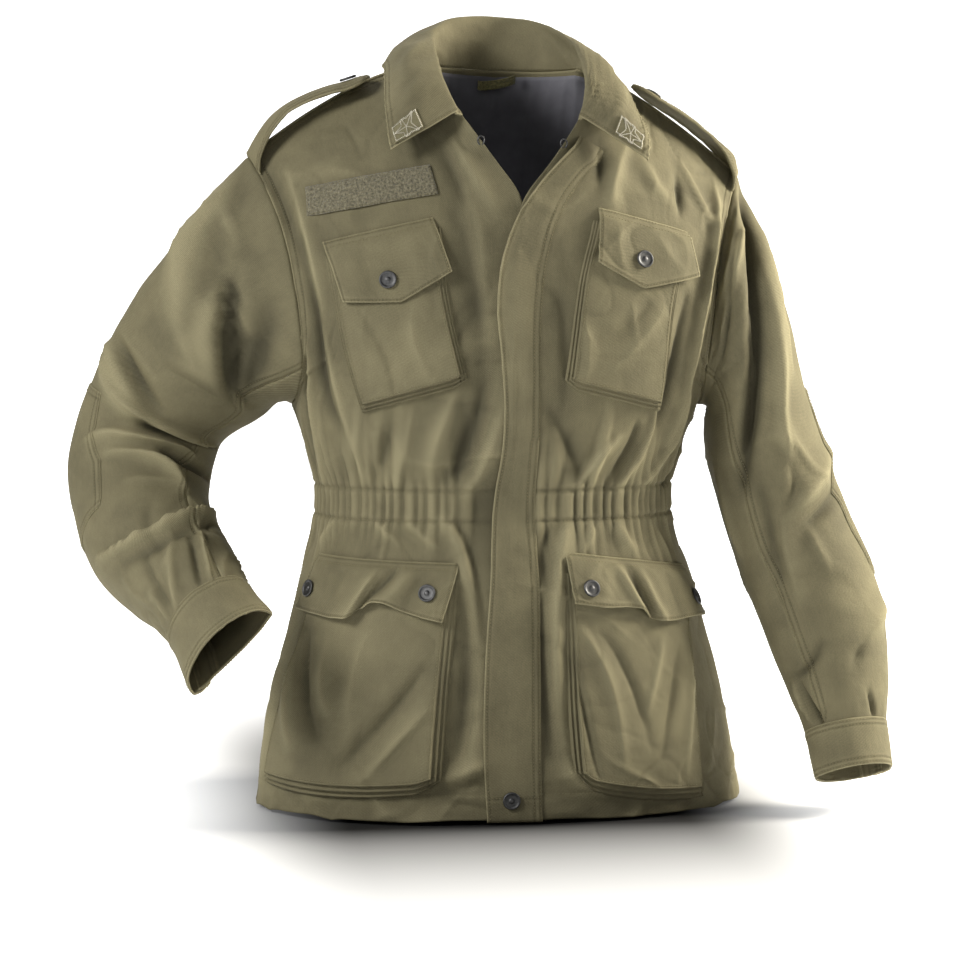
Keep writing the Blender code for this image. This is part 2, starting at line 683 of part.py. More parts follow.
def split(points, face):
    """Two triangles for a four-sided face, cut along its shorter diagonal."""
    a, b, c, d = face
    if np.linalg.norm(points[a] - points[c]) <= np.linalg.norm(points[b] - points[d]):
        return [(a, b, c), (a, c, d)]
    return [(a, b, d), (b, c, d)]


def wall(name, outer, inner, closed, finish):
    """Close an outer and an inner lattice of the same layout into one wall."""
    points = np.concatenate(list(outer) + list(inner))
    shift = sum(len(row) for row in outer)
    faces = strips(outer, closed)
    faces = faces + [tuple(reversed([index + shift for index in face])) for face in faces]
    starts = np.cumsum([0] + [len(row) for row in outer])
    for i, flip in ((0, False), (len(outer) - 1, True)):
        count = len(outer[i])
        for j in range(count if closed else count - 1):
            a = starts[i] + j
            b = starts[i] + (j + 1) % count
            face = (a, a + shift, b + shift, b)
            faces += split(points, tuple(reversed(face)) if flip else face)
    if not closed:
        for i in range(len(outer) - 1):
            for a, b, flip in (
                (starts[i], starts[i + 1], True),
                (starts[i + 1] - 1, starts[i + 2] - 1, False),
            ):
                face = (a, a + shift, b + shift, b)
                faces += split(points, tuple(reversed(face)) if flip else face)
    faces = [tuple(int(index) for index in face) for face in faces]
    return add_mesh(name, points, faces, finish)


def build_panel(panel, finish):
    return wall(panel.name, panel.rows, panel.inner(), panel.closed, finish)


# ---------------------------------------------------------------- body panels

FRONT_COLUMNS = np.concatenate([np.linspace(0.0, FRONT_GATHERED_SHARE, FRONT_GATHERS + 1), [0.9, 1.0]])
BACK_COLUMNS = np.linspace(0.0, 1.0, BACK_GATHERS_HALF + 1)
COARSE_LEVELS_LOW = [-700.0, -660.0, -620.0, -580.0, -540.0, -502.0, -468.0]
FINE_LEVELS = [-440.0, -425.0, -411.0, -396.0, -381.0, -366.0]
COARSE_LEVELS_HIGH = [-344.0, -325.0, -305.0]
UPPER_LEVELS = [ARMPIT * (1.0 - k / 8.0) for k in range(1, 9)]


def with_middles(columns):
    middles = (columns[:-1] + columns[1:]) / 2
    both = np.empty((len(columns) + len(middles),) + columns.shape[1:])
    both[0::2] = columns
    both[1::2] = middles
    return both


def level_rows(columns):
    """Each level with its columns: twice as many through the gathers."""
    rows = [(level, columns) for level in COARSE_LEVELS_LOW]
    rows += [(level, with_middles(columns)) for level in FINE_LEVELS]
    rows += [(level, columns) for level in COARSE_LEVELS_HIGH + UPPER_LEVELS]
    return rows


def back_panel():
    rows = []
    for level, u in level_rows(BACK_COLUMNS):
        levels = np.full(len(u), level)
        right = body_points("back", -1, u, levels)
        left = body_points("back", 1, u, levels)
        rows.append(np.concatenate([right, left[::-1][1:]]))
    return Panel("back", rows, -1)


def front_panel(side, back):
    """Front of one side; its shoulder edge keeps to the straight runs of the back's edge."""
    rows = [body_points("front", side, u, np.full(len(u), level)) for level, u in level_rows(FRONT_COLUMNS)]
    count = int(round(BACK_GATHERS_HALF * SHOULDER_SHARE))
    seam = back.rows[-1][: count + 1] if side < 0 else back.rows[-1][::-1][: count + 1]
    run = np.linspace(0.0, 1.0, count + 1)
    rows[-1] = np.stack([np.interp(FRONT_COLUMNS, run, seam[:, k]) for k in range(3)], axis=1)
    return Panel("front_left" if side > 0 else "front_right", rows, -side)


def follow_shoulder_normals(front, side, back):
    """The front's shoulder wall stands along the back's, run for run."""
    count = int(round(BACK_GATHERS_HALF * SHOULDER_SHARE))
    seam = back.normals[-1][: count + 1] if side < 0 else back.normals[-1][::-1][: count + 1]
    run = np.linspace(0.0, 1.0, count + 1)
    front.normals[-1] = np.stack([np.interp(FRONT_COLUMNS, run, seam[:, k]) for k in range(3)], axis=1)


# ---------------------------------------------------------------- sleeves

def armhole_loop(side, around):
    """Armhole seam: 0 at the armpit, 0.5 at the shoulder tip, by way of the front."""
    around = np.asarray(around, dtype=float) % 1.0
    front = table_curve(ARMHOLE_FRONT, np.clip(2 * around, 0, 1))
    back = table_curve(ARMHOLE_BACK, np.clip(2 - 2 * around, 0, 1))
    loop = np.where((around <= 0.5)[..., None], front, back)
    loop[..., 0] *= side
    return tilt(loop)


def sleeve_stations(side, around):
    """The armhole loop and then each ring of the sleeve, at the places around it."""
    around = np.asarray(around, dtype=float)
    rings = np.array(SLEEVE_RINGS[side])
    centres = rings[:, :3]
    axes = np.gradient(centres, axis=0)
    axes /= np.linalg.norm(axes, axis=1, keepdims=True)
    stations = [armhole_loop(side, around)]
    flat = np.ones(len(rings))
    flat[-2:] = CUFF_FLAT[side]
    angle = 2 * np.pi * around[..., None]
    for (x, y, z, wide, deep, slant), axis, share in zip(rings, axes, flat):
        slant = math.radians(slant)
        across = np.array([math.cos(slant), 0.0, math.sin(slant)])
        forward = np.cross(axis, across)
        forward *= -math.copysign(1.0, forward[1]) / np.linalg.norm(forward)
        rise = deep * np.where(np.sin(angle) < 0, share, 1.0) * np.sin(angle)
        stations.append(np.array([x, y, z]) + across * wide * np.cos(angle) + forward * rise)
    return np.stack(stations)


def sleeve_points(side, around, row, plain=False):
    """Outer surface of a sleeve at places around and station rows, both arrays of one shape."""
    shape = np.shape(around)
    around = np.ravel(around)
    row = np.ravel(row)
    last = len(SLEEVE_RINGS[side])

    def read(turn, at):
        stations = sleeve_stations(side, turn)
        slopes = np.gradient(stations, axis=0)
        cell, values, tangents = cell_weights(np.arange(last + 1.0), at)
        column = np.arange(len(at))
        total = np.zeros((len(at), 3))
        for k in (0, 1):
            total += values[k][:, None] * stations[cell + k, column]
            total += tangents[k][:, None] * slopes[cell + k, column]
        return total

    here = read(around, row)
    if plain:
        return here.reshape(shape + (3,))
    normal = np.cross(
        read(around, np.clip(row + 0.05, 0, last)) - read(around, np.clip(row - 0.05, 0, last)),
        read(around + 0.006, row) - read(around - 0.006, row),
    )
    normal *= side / np.linalg.norm(normal, axis=1, keepdims=True)
    folds = [fold[1:] for fold in SLEEVE_FOLDS if fold[0] == side]
    height = fold_height(folds, around % 1.0, row, (400.0, 55.0))
    height *= np.clip(row / 0.8, 0.0, 1.0) * np.clip((last - 1 - row) / 0.5, 0.0, 1.0)
    return (here + normal * height[:, None]).reshape(shape + (3,))


def sleeve_panels(side):
    panels = []
    word = "left" if side > 0 else "right"
    spans = (
        ("upper", range(UNDER_TO - LOOP_CELLS, UNDER_FROM + 1)),
        ("under", range(UNDER_FROM, UNDER_TO + 1)),
    )
    for part, columns in spans:
        around = np.array([column / LOOP_CELLS for column in columns])
        rows = [sleeve_points(side, around, np.full(len(around), row)) for row in SLEEVE_ROWS[side]]
        panels.append(Panel(f"sleeve_{word}_{part}", rows, -side))
    return panels


# ---------------------------------------------------------------- chart of a front

def edge_spread(levels):
    """Half of the space between the two front edges, which opens into the V of the neck."""
    edge = np.ones(len(levels))
    right, left = (body_points("front", side, edge, levels, plain=True)[:, 0] for side in (-1, 1))
    return (left - right) / 2


class FrontChart:
    """Places on one front by distance from the opening line, along the cloth, and by height."""

    def __init__(self, side, front):
        self.levels = np.linspace(HEM, TOP, 141)
        self.shares = np.linspace(0.0, 1.0, 61)
        level, share = np.meshgrid(self.levels, self.shares, indexing="ij")
        plain = body_points("front", side, share, level, plain=True)
        normal = np.cross(np.gradient(plain, axis=1), np.gradient(plain, axis=0))
        self.normals = -side * normal / np.linalg.norm(normal, axis=2, keepdims=True)
        self.points = self.on_facets(front)
        runs = np.linalg.norm(np.diff(plain, axis=1), axis=2)[:, ::-1]
        arc = np.concatenate([np.zeros((len(runs), 1)), np.cumsum(runs, axis=1)], axis=1)[:, ::-1]
        self.places = np.stack([arc + edge_spread(self.levels)[:, None], plain[:, :, 2]], axis=2)

    def on_facets(self, front):
        """The panel as it is built: straight runs between its own points."""
        table = level_rows(FRONT_COLUMNS)
        across = np.array([
            [np.interp(self.shares, table[i][1], row[:, k]) for k in range(3)]
            for i, row in enumerate(front.rows)
        ])
        heights = [level for level, _ in table]
        out = np.empty((len(self.levels), len(self.shares), 3))
        for k in range(3):
            for j in range(len(self.shares)):
                out[:, j, k] = np.interp(self.levels, heights, across[:, k, j])
        return out

    def find(self, across, height):
        """Row and column, with fractions, of a place."""
        target = np.array([across, height])
        row, column = np.unravel_index(
            np.argmin(np.sum((self.places - target) ** 2, axis=2)), self.places.shape[:2]
        )
        at = np.array([float(row), float(column)])
        for _ in range(12):
            miss = self.read(self.places, at) - target
            jacobian = np.stack(
                [
                    self.read(self.places, at + [0.5, 0.0]) - self.read(self.places, at - [0.5, 0.0]),
                    self.read(self.places, at + [0.0, 0.5]) - self.read(self.places, at - [0.0, 0.5]),
                ],
                axis=1,
            )
            at = at - 0.7 * np.linalg.lstsq(jacobian, miss, rcond=None)[0]
            at = np.clip(at, 0.0, [len(self.levels) - 1.0, len(self.shares) - 1.0])
        return at

    def read(self, values, at):
        i, j = np.clip(np.asarray(at), 0.0, [values.shape[0] - 1.001, values.shape[1] - 1.001])
        a, b = int(i), int(j)
        s, t = i - a, j - b
        low = values[a, b] * (1 - t) + values[a, b + 1] * t
        high = values[a + 1, b] * (1 - t) + values[a + 1, b + 1] * t
        return low * (1 - s) + high * s

    def place(self, across, height):
        """Point on the cloth and the plain normal there."""
        at = self.find(across, height)
        normal = self.read(self.normals, at)
        return self.read(self.points, at), normal / np.linalg.norm(normal)


def patch_places(corners, across, down):
    """Place on the front for shares across (0 inner) and down (0 top) of a four-cornered patch."""
    top_in, top_out, low_in, low_out = (np.array(corner) for corner in corners)
    top = (1 - across) * top_in + across * top_out
    low = (1 - across) * low_in + across * low_out
    return (1 - down) * top + down * low


def patch_rows(chart, corners, columns, downs, height, drop=None):
    """Lattice over a patch from its lowest row up; height is off the cloth, drop moves it down."""
    rows = []
    for down in downs:
        row = []
        for across in columns:
            place = patch_places(corners, across, down)
            if drop:
                place = place - [0.0, drop(across, down)]
            point, normal = chart.place(*place)
            row.append(point + normal * height(across, down))
        rows.append(np.array(row))
    return rows


# ---------------------------------------------------------------- pockets, flaps and tape

def bag_height(down, foot):
    share = np.clip(down, 0.0, 1.0)
    return BAG_MOUTH + (foot - BAG_MOUTH) * share * share * (3 - 2 * share)


def pocket_bag(kind, side, chart, corners):
    """Bellows pocket: a front sheet and gussets down to the panel, open along its mouth."""
    word = "left" if side > 0 else "right"
    inside = list(np.linspace(BAG_RIM, 1.0 - BAG_RIM, 7))
    columns = [0.0] + inside + [1.0]
    downs = [1.0] + list(np.linspace(1.0 - BAG_RIM, 0.0, 7))

    def height(across, down):
        if across in (0.0, 1.0) or down == 1.0:
            return LIFT + 0.5 + TRIM_CLOTH
        return bag_height(down, BAG_FOOT[kind])

    def drop(across, down):
        sag = BAG_SAG[kind] * math.sin(math.pi * across)
        return down**4 * (sag - BAG_CUT[kind, side] * np.clip(1.0 - across / 0.2, 0.0, 1.0))

    rows = patch_rows(chart, corners, columns, downs, height, drop)
    return Panel(f"{kind}_pocket_{word}", rows, side, cloth=TRIM_CLOTH)


def flap_height(down, foot, wave, lift):
    """Outer height of a flap: sewn to the front at its top, then lying over the bag."""
    over = bag_height(0.42 * down, foot) + 0.7 + TRIM_CLOTH
    share = np.clip(down / 0.2, 0.0, 1.0)
    return (1 - share) * (lift + TRIM_CLOTH) + share * (over + 1.6 * down + wave)


def chest_flap(name, side, chart):
    def height(across, down):
        wave = 1.5 * down * (1 + math.cos(2 * math.pi * across))
        return flap_height(down, BAG_FOOT["chest"], wave, 1.1)

    def drop(across, down):
        peak = min(across / FLAP_POINT_PLACE, (1.0 - across) / (1.0 - FLAP_POINT_PLACE))
        return FLAP_POINT[side] * down * peak

    rows = patch_rows(chart, CHEST_FLAP[side], np.linspace(0, 1, 9), [1.0, 0.75, 0.5, 0.2, 0.0], height, drop)
    return Panel(name, rows, side, cloth=TRIM_CLOTH)


def lower_flap(name, side, chart):
    def height(across, down):
        wave = down * (3.0 + 3.0 * math.cos(2 * math.pi * (across - 0.1 * side) * 1.5))
        return flap_height(down, BAG_FOOT["lower"], wave, LOWER_FLAP_LIFT)

    def drop(across, down):
        return down * 3.0 * math.sin(3 * math.pi * across)

    across, down = np.linspace(0, 1, 11), [1.0, 0.75, 0.5, 0.2, 0.0]
    rows = patch_rows(chart, LOWER_FLAP[side], across, down, height, drop)
    return Panel(name, rows, side, cloth=TRIM_CLOTH)


def name_tape(chart):
    rows = patch_rows(chart, NAME_TAPE, np.linspace(0, 1, 19), [1.0, 0.5, 0.0], lambda a, d: 2.6)
    return Panel("name_tape", rows, -1, cloth=1.0)


# ---------------------------------------------------------------- placket

def fly_placket(fronts):
    """Strip over the opening: it keeps to the panels' own levels and straight runs."""
    table = level_rows(FRONT_COLUMNS)
    levels = np.array([level for level, _ in table])
    spread = edge_spread(levels)

    def run(i):
        arcs = []
        lines = []
        for front, sign in zip(fronts, (-1, 1)):
            line = np.hstack([front.rows[i], front.normals[i]])
            steps = np.linalg.norm(np.diff(line[:, :3], axis=0), axis=1)
            arc = np.concatenate([np.cumsum(steps[::-1])[::-1], [0.0]]) + spread[i]
            arcs.append(sign * arc)
            lines.append(line)
        order = [np.arange(len(arcs[0])), np.arange(len(arcs[1]))[::-1]]
        arc = np.concatenate([arcs[0][order[0]], arcs[1][order[1]] + 1e-6])
        line = np.concatenate([lines[0][order[0]], lines[1][order[1]]])
        return arc, line

    def read(i, places):
        arc, line = run(i)
        return np.stack([np.interp(places, arc, line[:, k]) for k in range(6)], axis=1)

    rows = []
    top = PLACKET[-1][0]
    for level in sorted([level for level in levels if level < top] + [-171.0, -133.0, -102.0, top]):
        right, left = smooth([row[0] for row in PLACKET], [row[1:] for row in PLACKET], level)
        places = np.linspace(-right, left, PLACKET_CELLS + 1)
        i = int(np.clip(np.searchsorted(levels, level, side="right") - 1, 0, len(levels) - 2))
        share = (level - levels[i]) / (levels[i + 1] - levels[i])
        both = (1 - share) * read(i, places) + share * read(i + 1, places)
        lift = np.interp(level, [-190.0, -150.0], [0.8, 1.7])
        rows.append(both[:, :3] + both[:, 3:] * (lift + TRIM_CLOTH))
    return Panel("fly_placket", rows, 1, cloth=TRIM_CLOTH)


# ---------------------------------------------------------------- collar

def neckline(fronts, back):
    """Points and normals along the neck seam, from the right front's end to the left front's."""
    right, left = fronts
    centre = BACK_GATHERS_HALF
    corner = int(round(BACK_GATHERS_HALF * SHOULDER_SHARE))
    points = []
    normals = []
    for out, of in ((points, "rows"), (normals, "normals")):
        out += [getattr(right, of)[i][-1] for i in (-3, -2)]
        out += list(getattr(back, of)[-1][corner : 2 * centre - corner + 1])
        out += [getattr(left, of)[i][-1] for i in (-2, -3)]
    return with_middles(np.array(points)), with_middles(np.array(normals))


def collar_panel(fronts, back):
    seam, seam_normals = neckline(fronts, back)
    steps = np.linalg.norm(np.diff(seam, axis=0), axis=1)
    arc = np.concatenate([[0.0], np.cumsum(steps)])
    middle = len(seam) // 2
    far_share = (arc[-1] - arc) / (arc[-1] - arc[middle])
    share = np.where(np.arange(len(seam)) <= middle, arc / arc[middle], far_share)
    side = np.where(np.arange(len(seam)) < middle, -1.0, 1.0)
    knots = []
    for k in range(4):
        line = smooth([row[0] for row in COLLAR], [row[1 + k] for row in COLLAR], share)
        narrow = COLLAR_NARROW[k] * np.sin(np.pi * np.clip((share - 0.15) / 0.85, 0.0, 1.0)) * (side > 0)
        line[:, 0] = (line[:, 0] - narrow) * side
        line[middle, 0] = 0.0
        line[:, 0] += NECK_SHIFT
        knots.append(tilt(line))
    tangent = np.gradient(seam, axis=0)
    away = np.cross(tangent, seam_normals)
    away /= np.linalg.norm(away, axis=1, keepdims=True)
    to_neck = np.stack([NECK_SHIFT - seam[:, 0], np.zeros(len(seam)), np.full(len(seam), 60.0)], axis=1)
    away *= np.sign(np.sum(away * to_neck, axis=1))[:, None]

    def lattice(first):
        stack = np.stack([first] + knots)
        return [smooth(np.arange(5.0), stack, at) for at in COLLAR_PROFILE]

    first = seam - 0.5 * CLOTH * seam_normals
    draft = Panel("collar", lattice(first), 1, cloth=COLLAR_CLOTH)
    lean = np.clip(np.sum(draft.normals[0] * away, axis=1), 0.0, None)
    first = first + away * (COLLAR_LIFT + COLLAR_CLOTH * lean)[:, None]
    return Panel("collar", lattice(first), 1, cloth=COLLAR_CLOTH)


def collar_badge(name, collar, share):
    """Small cloth badge on the leaf, share along the collar and between fall and edge."""
    count = len(collar.rows[0])
    columns = np.linspace(share[0] * (count - 1), share[1] * (count - 1), 5)
    stations = np.linspace(share[2], share[3], 3)
    points = np.array(collar.rows)
    normals = np.array(collar.normals)
    rows = []
    for station in stations:
        row = []
        for column in columns:
            i = min(int(station), points.shape[0] - 2)
            j = min(int(column), points.shape[1] - 2)
            s, t = station - i, column - j
            both = [
                (1 - s) * ((1 - t) * grid[i, j] + t * grid[i, j + 1])
                + s * ((1 - t) * grid[i + 1, j] + t * grid[i + 1, j + 1])
                for grid in (points, normals)
            ]
            row.append(both[0] + both[1] * (1.2 + 1.0))
        rows.append(np.array(row))
    return Panel(name, rows, 1, cloth=1.0)


# ---------------------------------------------------------------- lining, loop and straps

def back_lining(back):
    """Half lining inside the shoulders, which is seen through the neck."""
    rows = [
        row[3:-3] - normal[3:-3] * (CLOTH + 0.95)
        for row, normal in list(zip(back.rows, back.normals))[-7:]
    ]
    lining = Panel("back_lining", rows, -1, cloth=1.0)
    lining.tuck(0.5, 3.0)
    return lining


def epaulette(side):
    word = "left" if side > 0 else "right"
    spread = np.linspace(-1.0, 1.0, 5)
    line = np.array(EPAULETTE[side])
    halves = np.full(len(line), EPAULETTE_HALF)
    halves[-2] = EPAULETTE_HALF * 0.9
    halves[-1] = EPAULETTE_HALF * 0.35
    rows = []
    for i, (centre, half) in enumerate(zip(line, halves)):
        arch = -7.0 * spread**2 * half / EPAULETTE_HALF
        row = centre + np.stack([np.zeros(5), half * spread, arch], axis=1)
        if i < 3:
            seam = armhole_loop(side, 0.5 + 0.055 * spread)
            seam = seam + np.array([0.45 * side, 0.0, 0.89]) * (EPAULETTE_CLOTH + EPAULETTE_SEAM[side])
            share = (1.0, 0.6, 0.2)[i]
            row = row + (seam - row) * share * (1.0 if i == 0 else spread[:, None] ** 2)
        rows.append(row)
    return Panel(f"epaulette_{word}", rows, side, cloth=EPAULETTE_CLOTH)


def hanger_loop(lining):
    """Short strap whose ends are caught in the neck seam."""
    turn = np.linspace(0.0, math.pi, 8)
    middle = lining.inner()[-1][6]
    rows = []
    for rise in (0.0, 6.0):
        rows.append(np.stack(
            [
                middle[0] - 20.0 * np.cos(turn),
                middle[1] - 6.2 - 7.0 * np.sin(turn),
                middle[2] - 5.0 - 9.0 * np.sin(turn) + rise,
            ],
            axis=1,
        ))
    return Panel("hanger_loop", rows, 1, cloth=1.0)


# ---------------------------------------------------------------- sleeve trims

def off_sleeve(side, around, rows, height):
    """Lattice lying off the sleeve by a height given for each column."""
    lattice = [sleeve_points(side, around, np.full(len(around), row)) for row in rows]
    plain = Panel("", lattice, -side)
    return [points + normals * height[:, None] for points, normals in zip(lattice, plain.normals)]


def cuff(side):
    word = "left" if side > 0 else "right"
    last = len(SLEEVE_RINGS[side])
    around = np.linspace(CUFF_FROM, CUFF_TO, CUFF_CELLS + 1)
    over = np.clip((around - (CUFF_FROM + 0.92)) / 0.08, 0.0, 1.0)
    height = CUFF_PROUD + over * (CUFF_CLOTH + 0.6)
    rows = off_sleeve(side, around, [last - 0.99, last - 0.65, last - 0.3, last], height)
    return Panel(f"cuff_{word}", rows, -side, cloth=CUFF_CLOTH)


def elbow_patch(side):
    word = "left" if side > 0 else "right"
    around = np.array([column / LOOP_CELLS for column in PATCH_COLUMNS[side]])
    height = np.full(len(around), 0.4 + TRIM_CLOTH)
    rows = off_sleeve(side, around, SLEEVE_ROWS[side][PATCH_ROWS[side]], height)
    return Panel(f"elbow_patch_{word}", [row[1:-1] for row in rows[1:-1]], -side, cloth=TRIM_CLOTH)


# ---------------------------------------------------------------- metal

def snap(name, point, normal, gap, finish):
    """Domed cap turned from a profile, its flat side a gap off the cloth."""
    radius = SNAP_RADIUS
    profile = [
        (0.0, gap),
        (radius, gap),
        (radius, gap + 0.45 * SNAP_HEIGHT),
        (0.7 * radius, gap + 0.9 * SNAP_HEIGHT),
        (0.0, gap + SNAP_HEIGHT),
    ]
    mesh = bpy.data.meshes.new(name)
    points = [(x * MM, 0.0, z * MM) for x, z in profile]
    mesh.from_pydata(points, [(k, k + 1) for k in range(len(points) - 1)], [])
    mesh.materials.append(finish)
    made = bpy.data.objects.new(name, mesh)
    collection.objects.link(made)
    turned = made.modifiers.new("turned", "SCREW")
    turned.steps = 12
    turned.render_steps = 12
    turned.use_merge_vertices = True
    turned.merge_threshold = 0.00001
    turned.use_normal_calculate = True
    made.matrix_world = (
        Matrix.Translation(Vector(point) * MM) @ Vector(normal).to_track_quat("Z", "Y").to_matrix().to_4x4()
    )
    return made


def wire(name, points, radius, finish):
    """Bent wire along a run of points that lie in one upright plane."""
    points = np.array(points)
    along = np.gradient(points, axis=0)
    along /= np.linalg.norm(along, axis=1, keepdims=True)
    front = np.array([0.0, -1.0, 0.0])
    turns = np.linspace(0.0, 2 * math.pi, 7)[:-1]
    rings = [
        point + radius * (np.outer(np.cos(turns), front) + np.outer(np.sin(turns), np.cross(step, front)))
        for point, step in zip(points, along)
    ]
    last = 6 * len(rings)
    faces = strips(rings, True)
    faces += [(k, last, (k + 1) % 6) for k in range(6)]
    faces += [(last - 6 + k, last - 6 + (k + 1) % 6, last + 1) for k in range(6)]
    return add_mesh(name, np.concatenate(rings + [points[:1], points[-1:]]), faces, finish)


def on_panel(panel, row, column):
    """Outer point and normal at a place of a lattice, with fractions."""
    i = min(int(row), len(panel.rows) - 2)
    j = min(int(column), len(panel.rows[0]) - 2)
    s, t = row - i, column - j
    out = []
    for grid in (panel.rows, panel.normals):
        low = (1 - t) * grid[i][j] + t * grid[i][j + 1]
        high = (1 - t) * grid[i + 1][j] + t * grid[i + 1][j + 1]
        out.append((1 - s) * low + s * high)
    return out[0], out[1] / np.linalg.norm(out[1])


def main():
    start_scene()
    drill = material("olive_drill", (0.115, 0.105, 0.058), 0.85)
    lining_cloth = material("dark_lining", (0.028, 0.028, 0.031), 0.75)
    tape_cloth = material("olive_tape", (0.10, 0.095, 0.05), 0.9)
    badge_cloth = material("dark_badge_cloth", (0.03, 0.03, 0.025), 0.9)
    metal = material("dark_snap_metal", (0.05, 0.05, 0.045), 0.45, 0.8)

    back = back_panel()
    fronts = [front_panel(-1, back), front_panel(1, back)]
    sleeves = sleeve_panels(-1) + sleeve_panels(1)
    shell = fronts + [back] + sleeves
    share_seam_normals(shell)
    for side, front in zip((-1, 1), fronts):
        follow_shoulder_normals(front, side, back)

    charts = {side: FrontChart(side, front) for side, front in zip((-1, 1), fronts)}
    collar = collar_panel(fronts, back)
    lining = back_lining(back)
    loop = hanger_loop(lining)
    placket = fly_placket(fronts)
    trims = [collar, placket]
    snaps = [("placket_snap", placket, 0.55, 0.9 * PLACKET_CELLS / 2, 0.5)]
    for side, word in ((-1, "right"), (1, "left")):
        chart = charts[side]
        trims.append(pocket_bag("chest", side, chart, CHEST_POCKET[side]))
        trims.append(pocket_bag("lower", side, chart, LOWER_POCKET[side]))
        chest = chest_flap(f"chest_flap_{word}", side, chart)
        lower = lower_flap(f"lower_flap_{word}", side, chart)
        strap = epaulette(side)
        band = cuff(side)
        trims += [chest, lower, strap, band, elbow_patch(side)]
        for node, flap in (("chest_snap", chest), ("lower_snap_inner", lower), ("lower_snap_outer", lower)):
            row, column = FLAP_SNAPS[node, side]
            snaps.append((f"{node}_{word}", flap, row, column, 0.9))
        snaps.append((f"epaulette_snap_{word}", strap, 6.4, 2.0, 0.6))
        snaps.append((f"cuff_snap_{word}", band, 1.5, CUFF_CELLS - 0.8, 1.1))

    for panel in shell:
        panel.tuck(SEAM_TUCK)
    for panel in shell + trims:
        build_panel(panel, drill)
    build_panel(lining, lining_cloth)
    build_panel(loop, tape_cloth)
    build_panel(name_tape(charts[-1]), tape_cloth)
    build_panel(collar_badge("collar_badge_right", collar, (0.006, 0.046, 6.05, 7.65)), badge_cloth)
    build_panel(collar_badge("collar_badge_left", collar, (0.954, 0.993, 5.95, 7.5)), badge_cloth)
    for name, panel, row, column, gap in snaps:
        snap(name, *on_panel(panel, row, column), gap, metal)

    turn = np.linspace(-0.4 * math.pi, 1.4 * math.pi, 7)
    hook_at, hook_out = on_panel(fronts[0], len(fronts[0].rows) - 3.6, len(fronts[0].rows[0]) - 1.0)
    eye_at, eye_out = on_panel(fronts[1], len(fronts[1].rows) - 3.6, len(fronts[1].rows[0]) - 1.0)
    for name, at, out in (("neck_hook", hook_at, hook_out), ("neck_eye", eye_at, eye_out)):
        base = at + out * 2.1
        wire(name, [base + np.array([3.5 * math.cos(t), 0.0, 4.5 * math.sin(t)]) for t in turn], 0.7, metal)


main()
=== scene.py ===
import math

import bpy
import numpy as np
from mathutils import Matrix, Vector


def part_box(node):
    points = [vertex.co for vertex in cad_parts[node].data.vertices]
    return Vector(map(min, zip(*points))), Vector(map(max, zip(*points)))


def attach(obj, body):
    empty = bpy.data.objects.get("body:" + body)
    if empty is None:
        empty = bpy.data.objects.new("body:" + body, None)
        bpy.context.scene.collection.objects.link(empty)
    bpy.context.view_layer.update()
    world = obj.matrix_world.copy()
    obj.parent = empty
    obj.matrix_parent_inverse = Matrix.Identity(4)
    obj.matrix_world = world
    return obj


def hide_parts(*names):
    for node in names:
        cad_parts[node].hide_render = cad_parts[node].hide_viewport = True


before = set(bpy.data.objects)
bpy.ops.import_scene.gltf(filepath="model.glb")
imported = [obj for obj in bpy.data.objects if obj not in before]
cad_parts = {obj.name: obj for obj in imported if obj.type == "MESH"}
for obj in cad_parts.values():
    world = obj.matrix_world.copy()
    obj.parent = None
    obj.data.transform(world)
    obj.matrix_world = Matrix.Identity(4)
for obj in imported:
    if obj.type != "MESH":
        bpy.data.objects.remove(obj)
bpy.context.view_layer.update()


# ================================================================ fronts and back
# Two fronts and a back of cotton drill, cut wide and drawn in at the waist. They are joined by felled
# side and shoulder seams, turned up at the hem, and filled out as a wearer would fill them.
# Sizes are in millimetres until a mesh is made; side is 1 on the wearer's left and -1 on the right.

HEM, ARMPIT, SHOULDER = -700.0, -305.0, 0.0
CASING_LOW, CASING_HIGH = -411.0, -381.0
CASING = (CASING_LOW + CASING_HIGH) / 2
HEM_STITCH = -673.0
DRILL = 0.9                     # thickness of the cloth as it shows at an edge
SHOULDER_TILT = 0.037
SWAY = [
    # z      x
    (-700.0, -1.0),
    (-650.0, -4.0),
    (-590.0, -5.0),
    (-500.0, -4.0),
    (-396.0, -6.0),
    (-300.0, -4.0),
    (100.0, -4.0),
]
BODY = [
    # level  half_width  front  back   side_pull  front_pull  back_pull
    (-700.0, 243.0, 148.0, 160.0, 94.0, 156.0, 150.0),
    (-660.0, 236.0, 149.0, 160.0, 94.0, 153.0, 148.0),
    (-600.0, 224.0, 146.0, 157.0, 92.0, 143.0, 140.0),
    (-540.0, 208.0, 143.0, 153.0, 90.0, 132.0, 130.0),
    (-500.0, 199.0, 140.0, 148.0, 88.0, 125.0, 124.0),
    (-460.0, 190.0, 134.0, 138.0, 84.0, 118.0, 118.0),
    (-430.0, 180.0, 124.0, 122.0, 77.0, 112.0, 112.0),
    (-411.0, 176.0, 119.0, 113.0, 74.0, 109.0, 109.0),
    (-381.0, 176.0, 118.0, 110.0, 73.0, 109.0, 109.0),
    (-350.0, 187.0, 124.0, 115.0, 77.0, 115.0, 116.0),
    (-305.0, 204.0, 131.0, 124.0, 82.0, 126.0, 126.0),
]
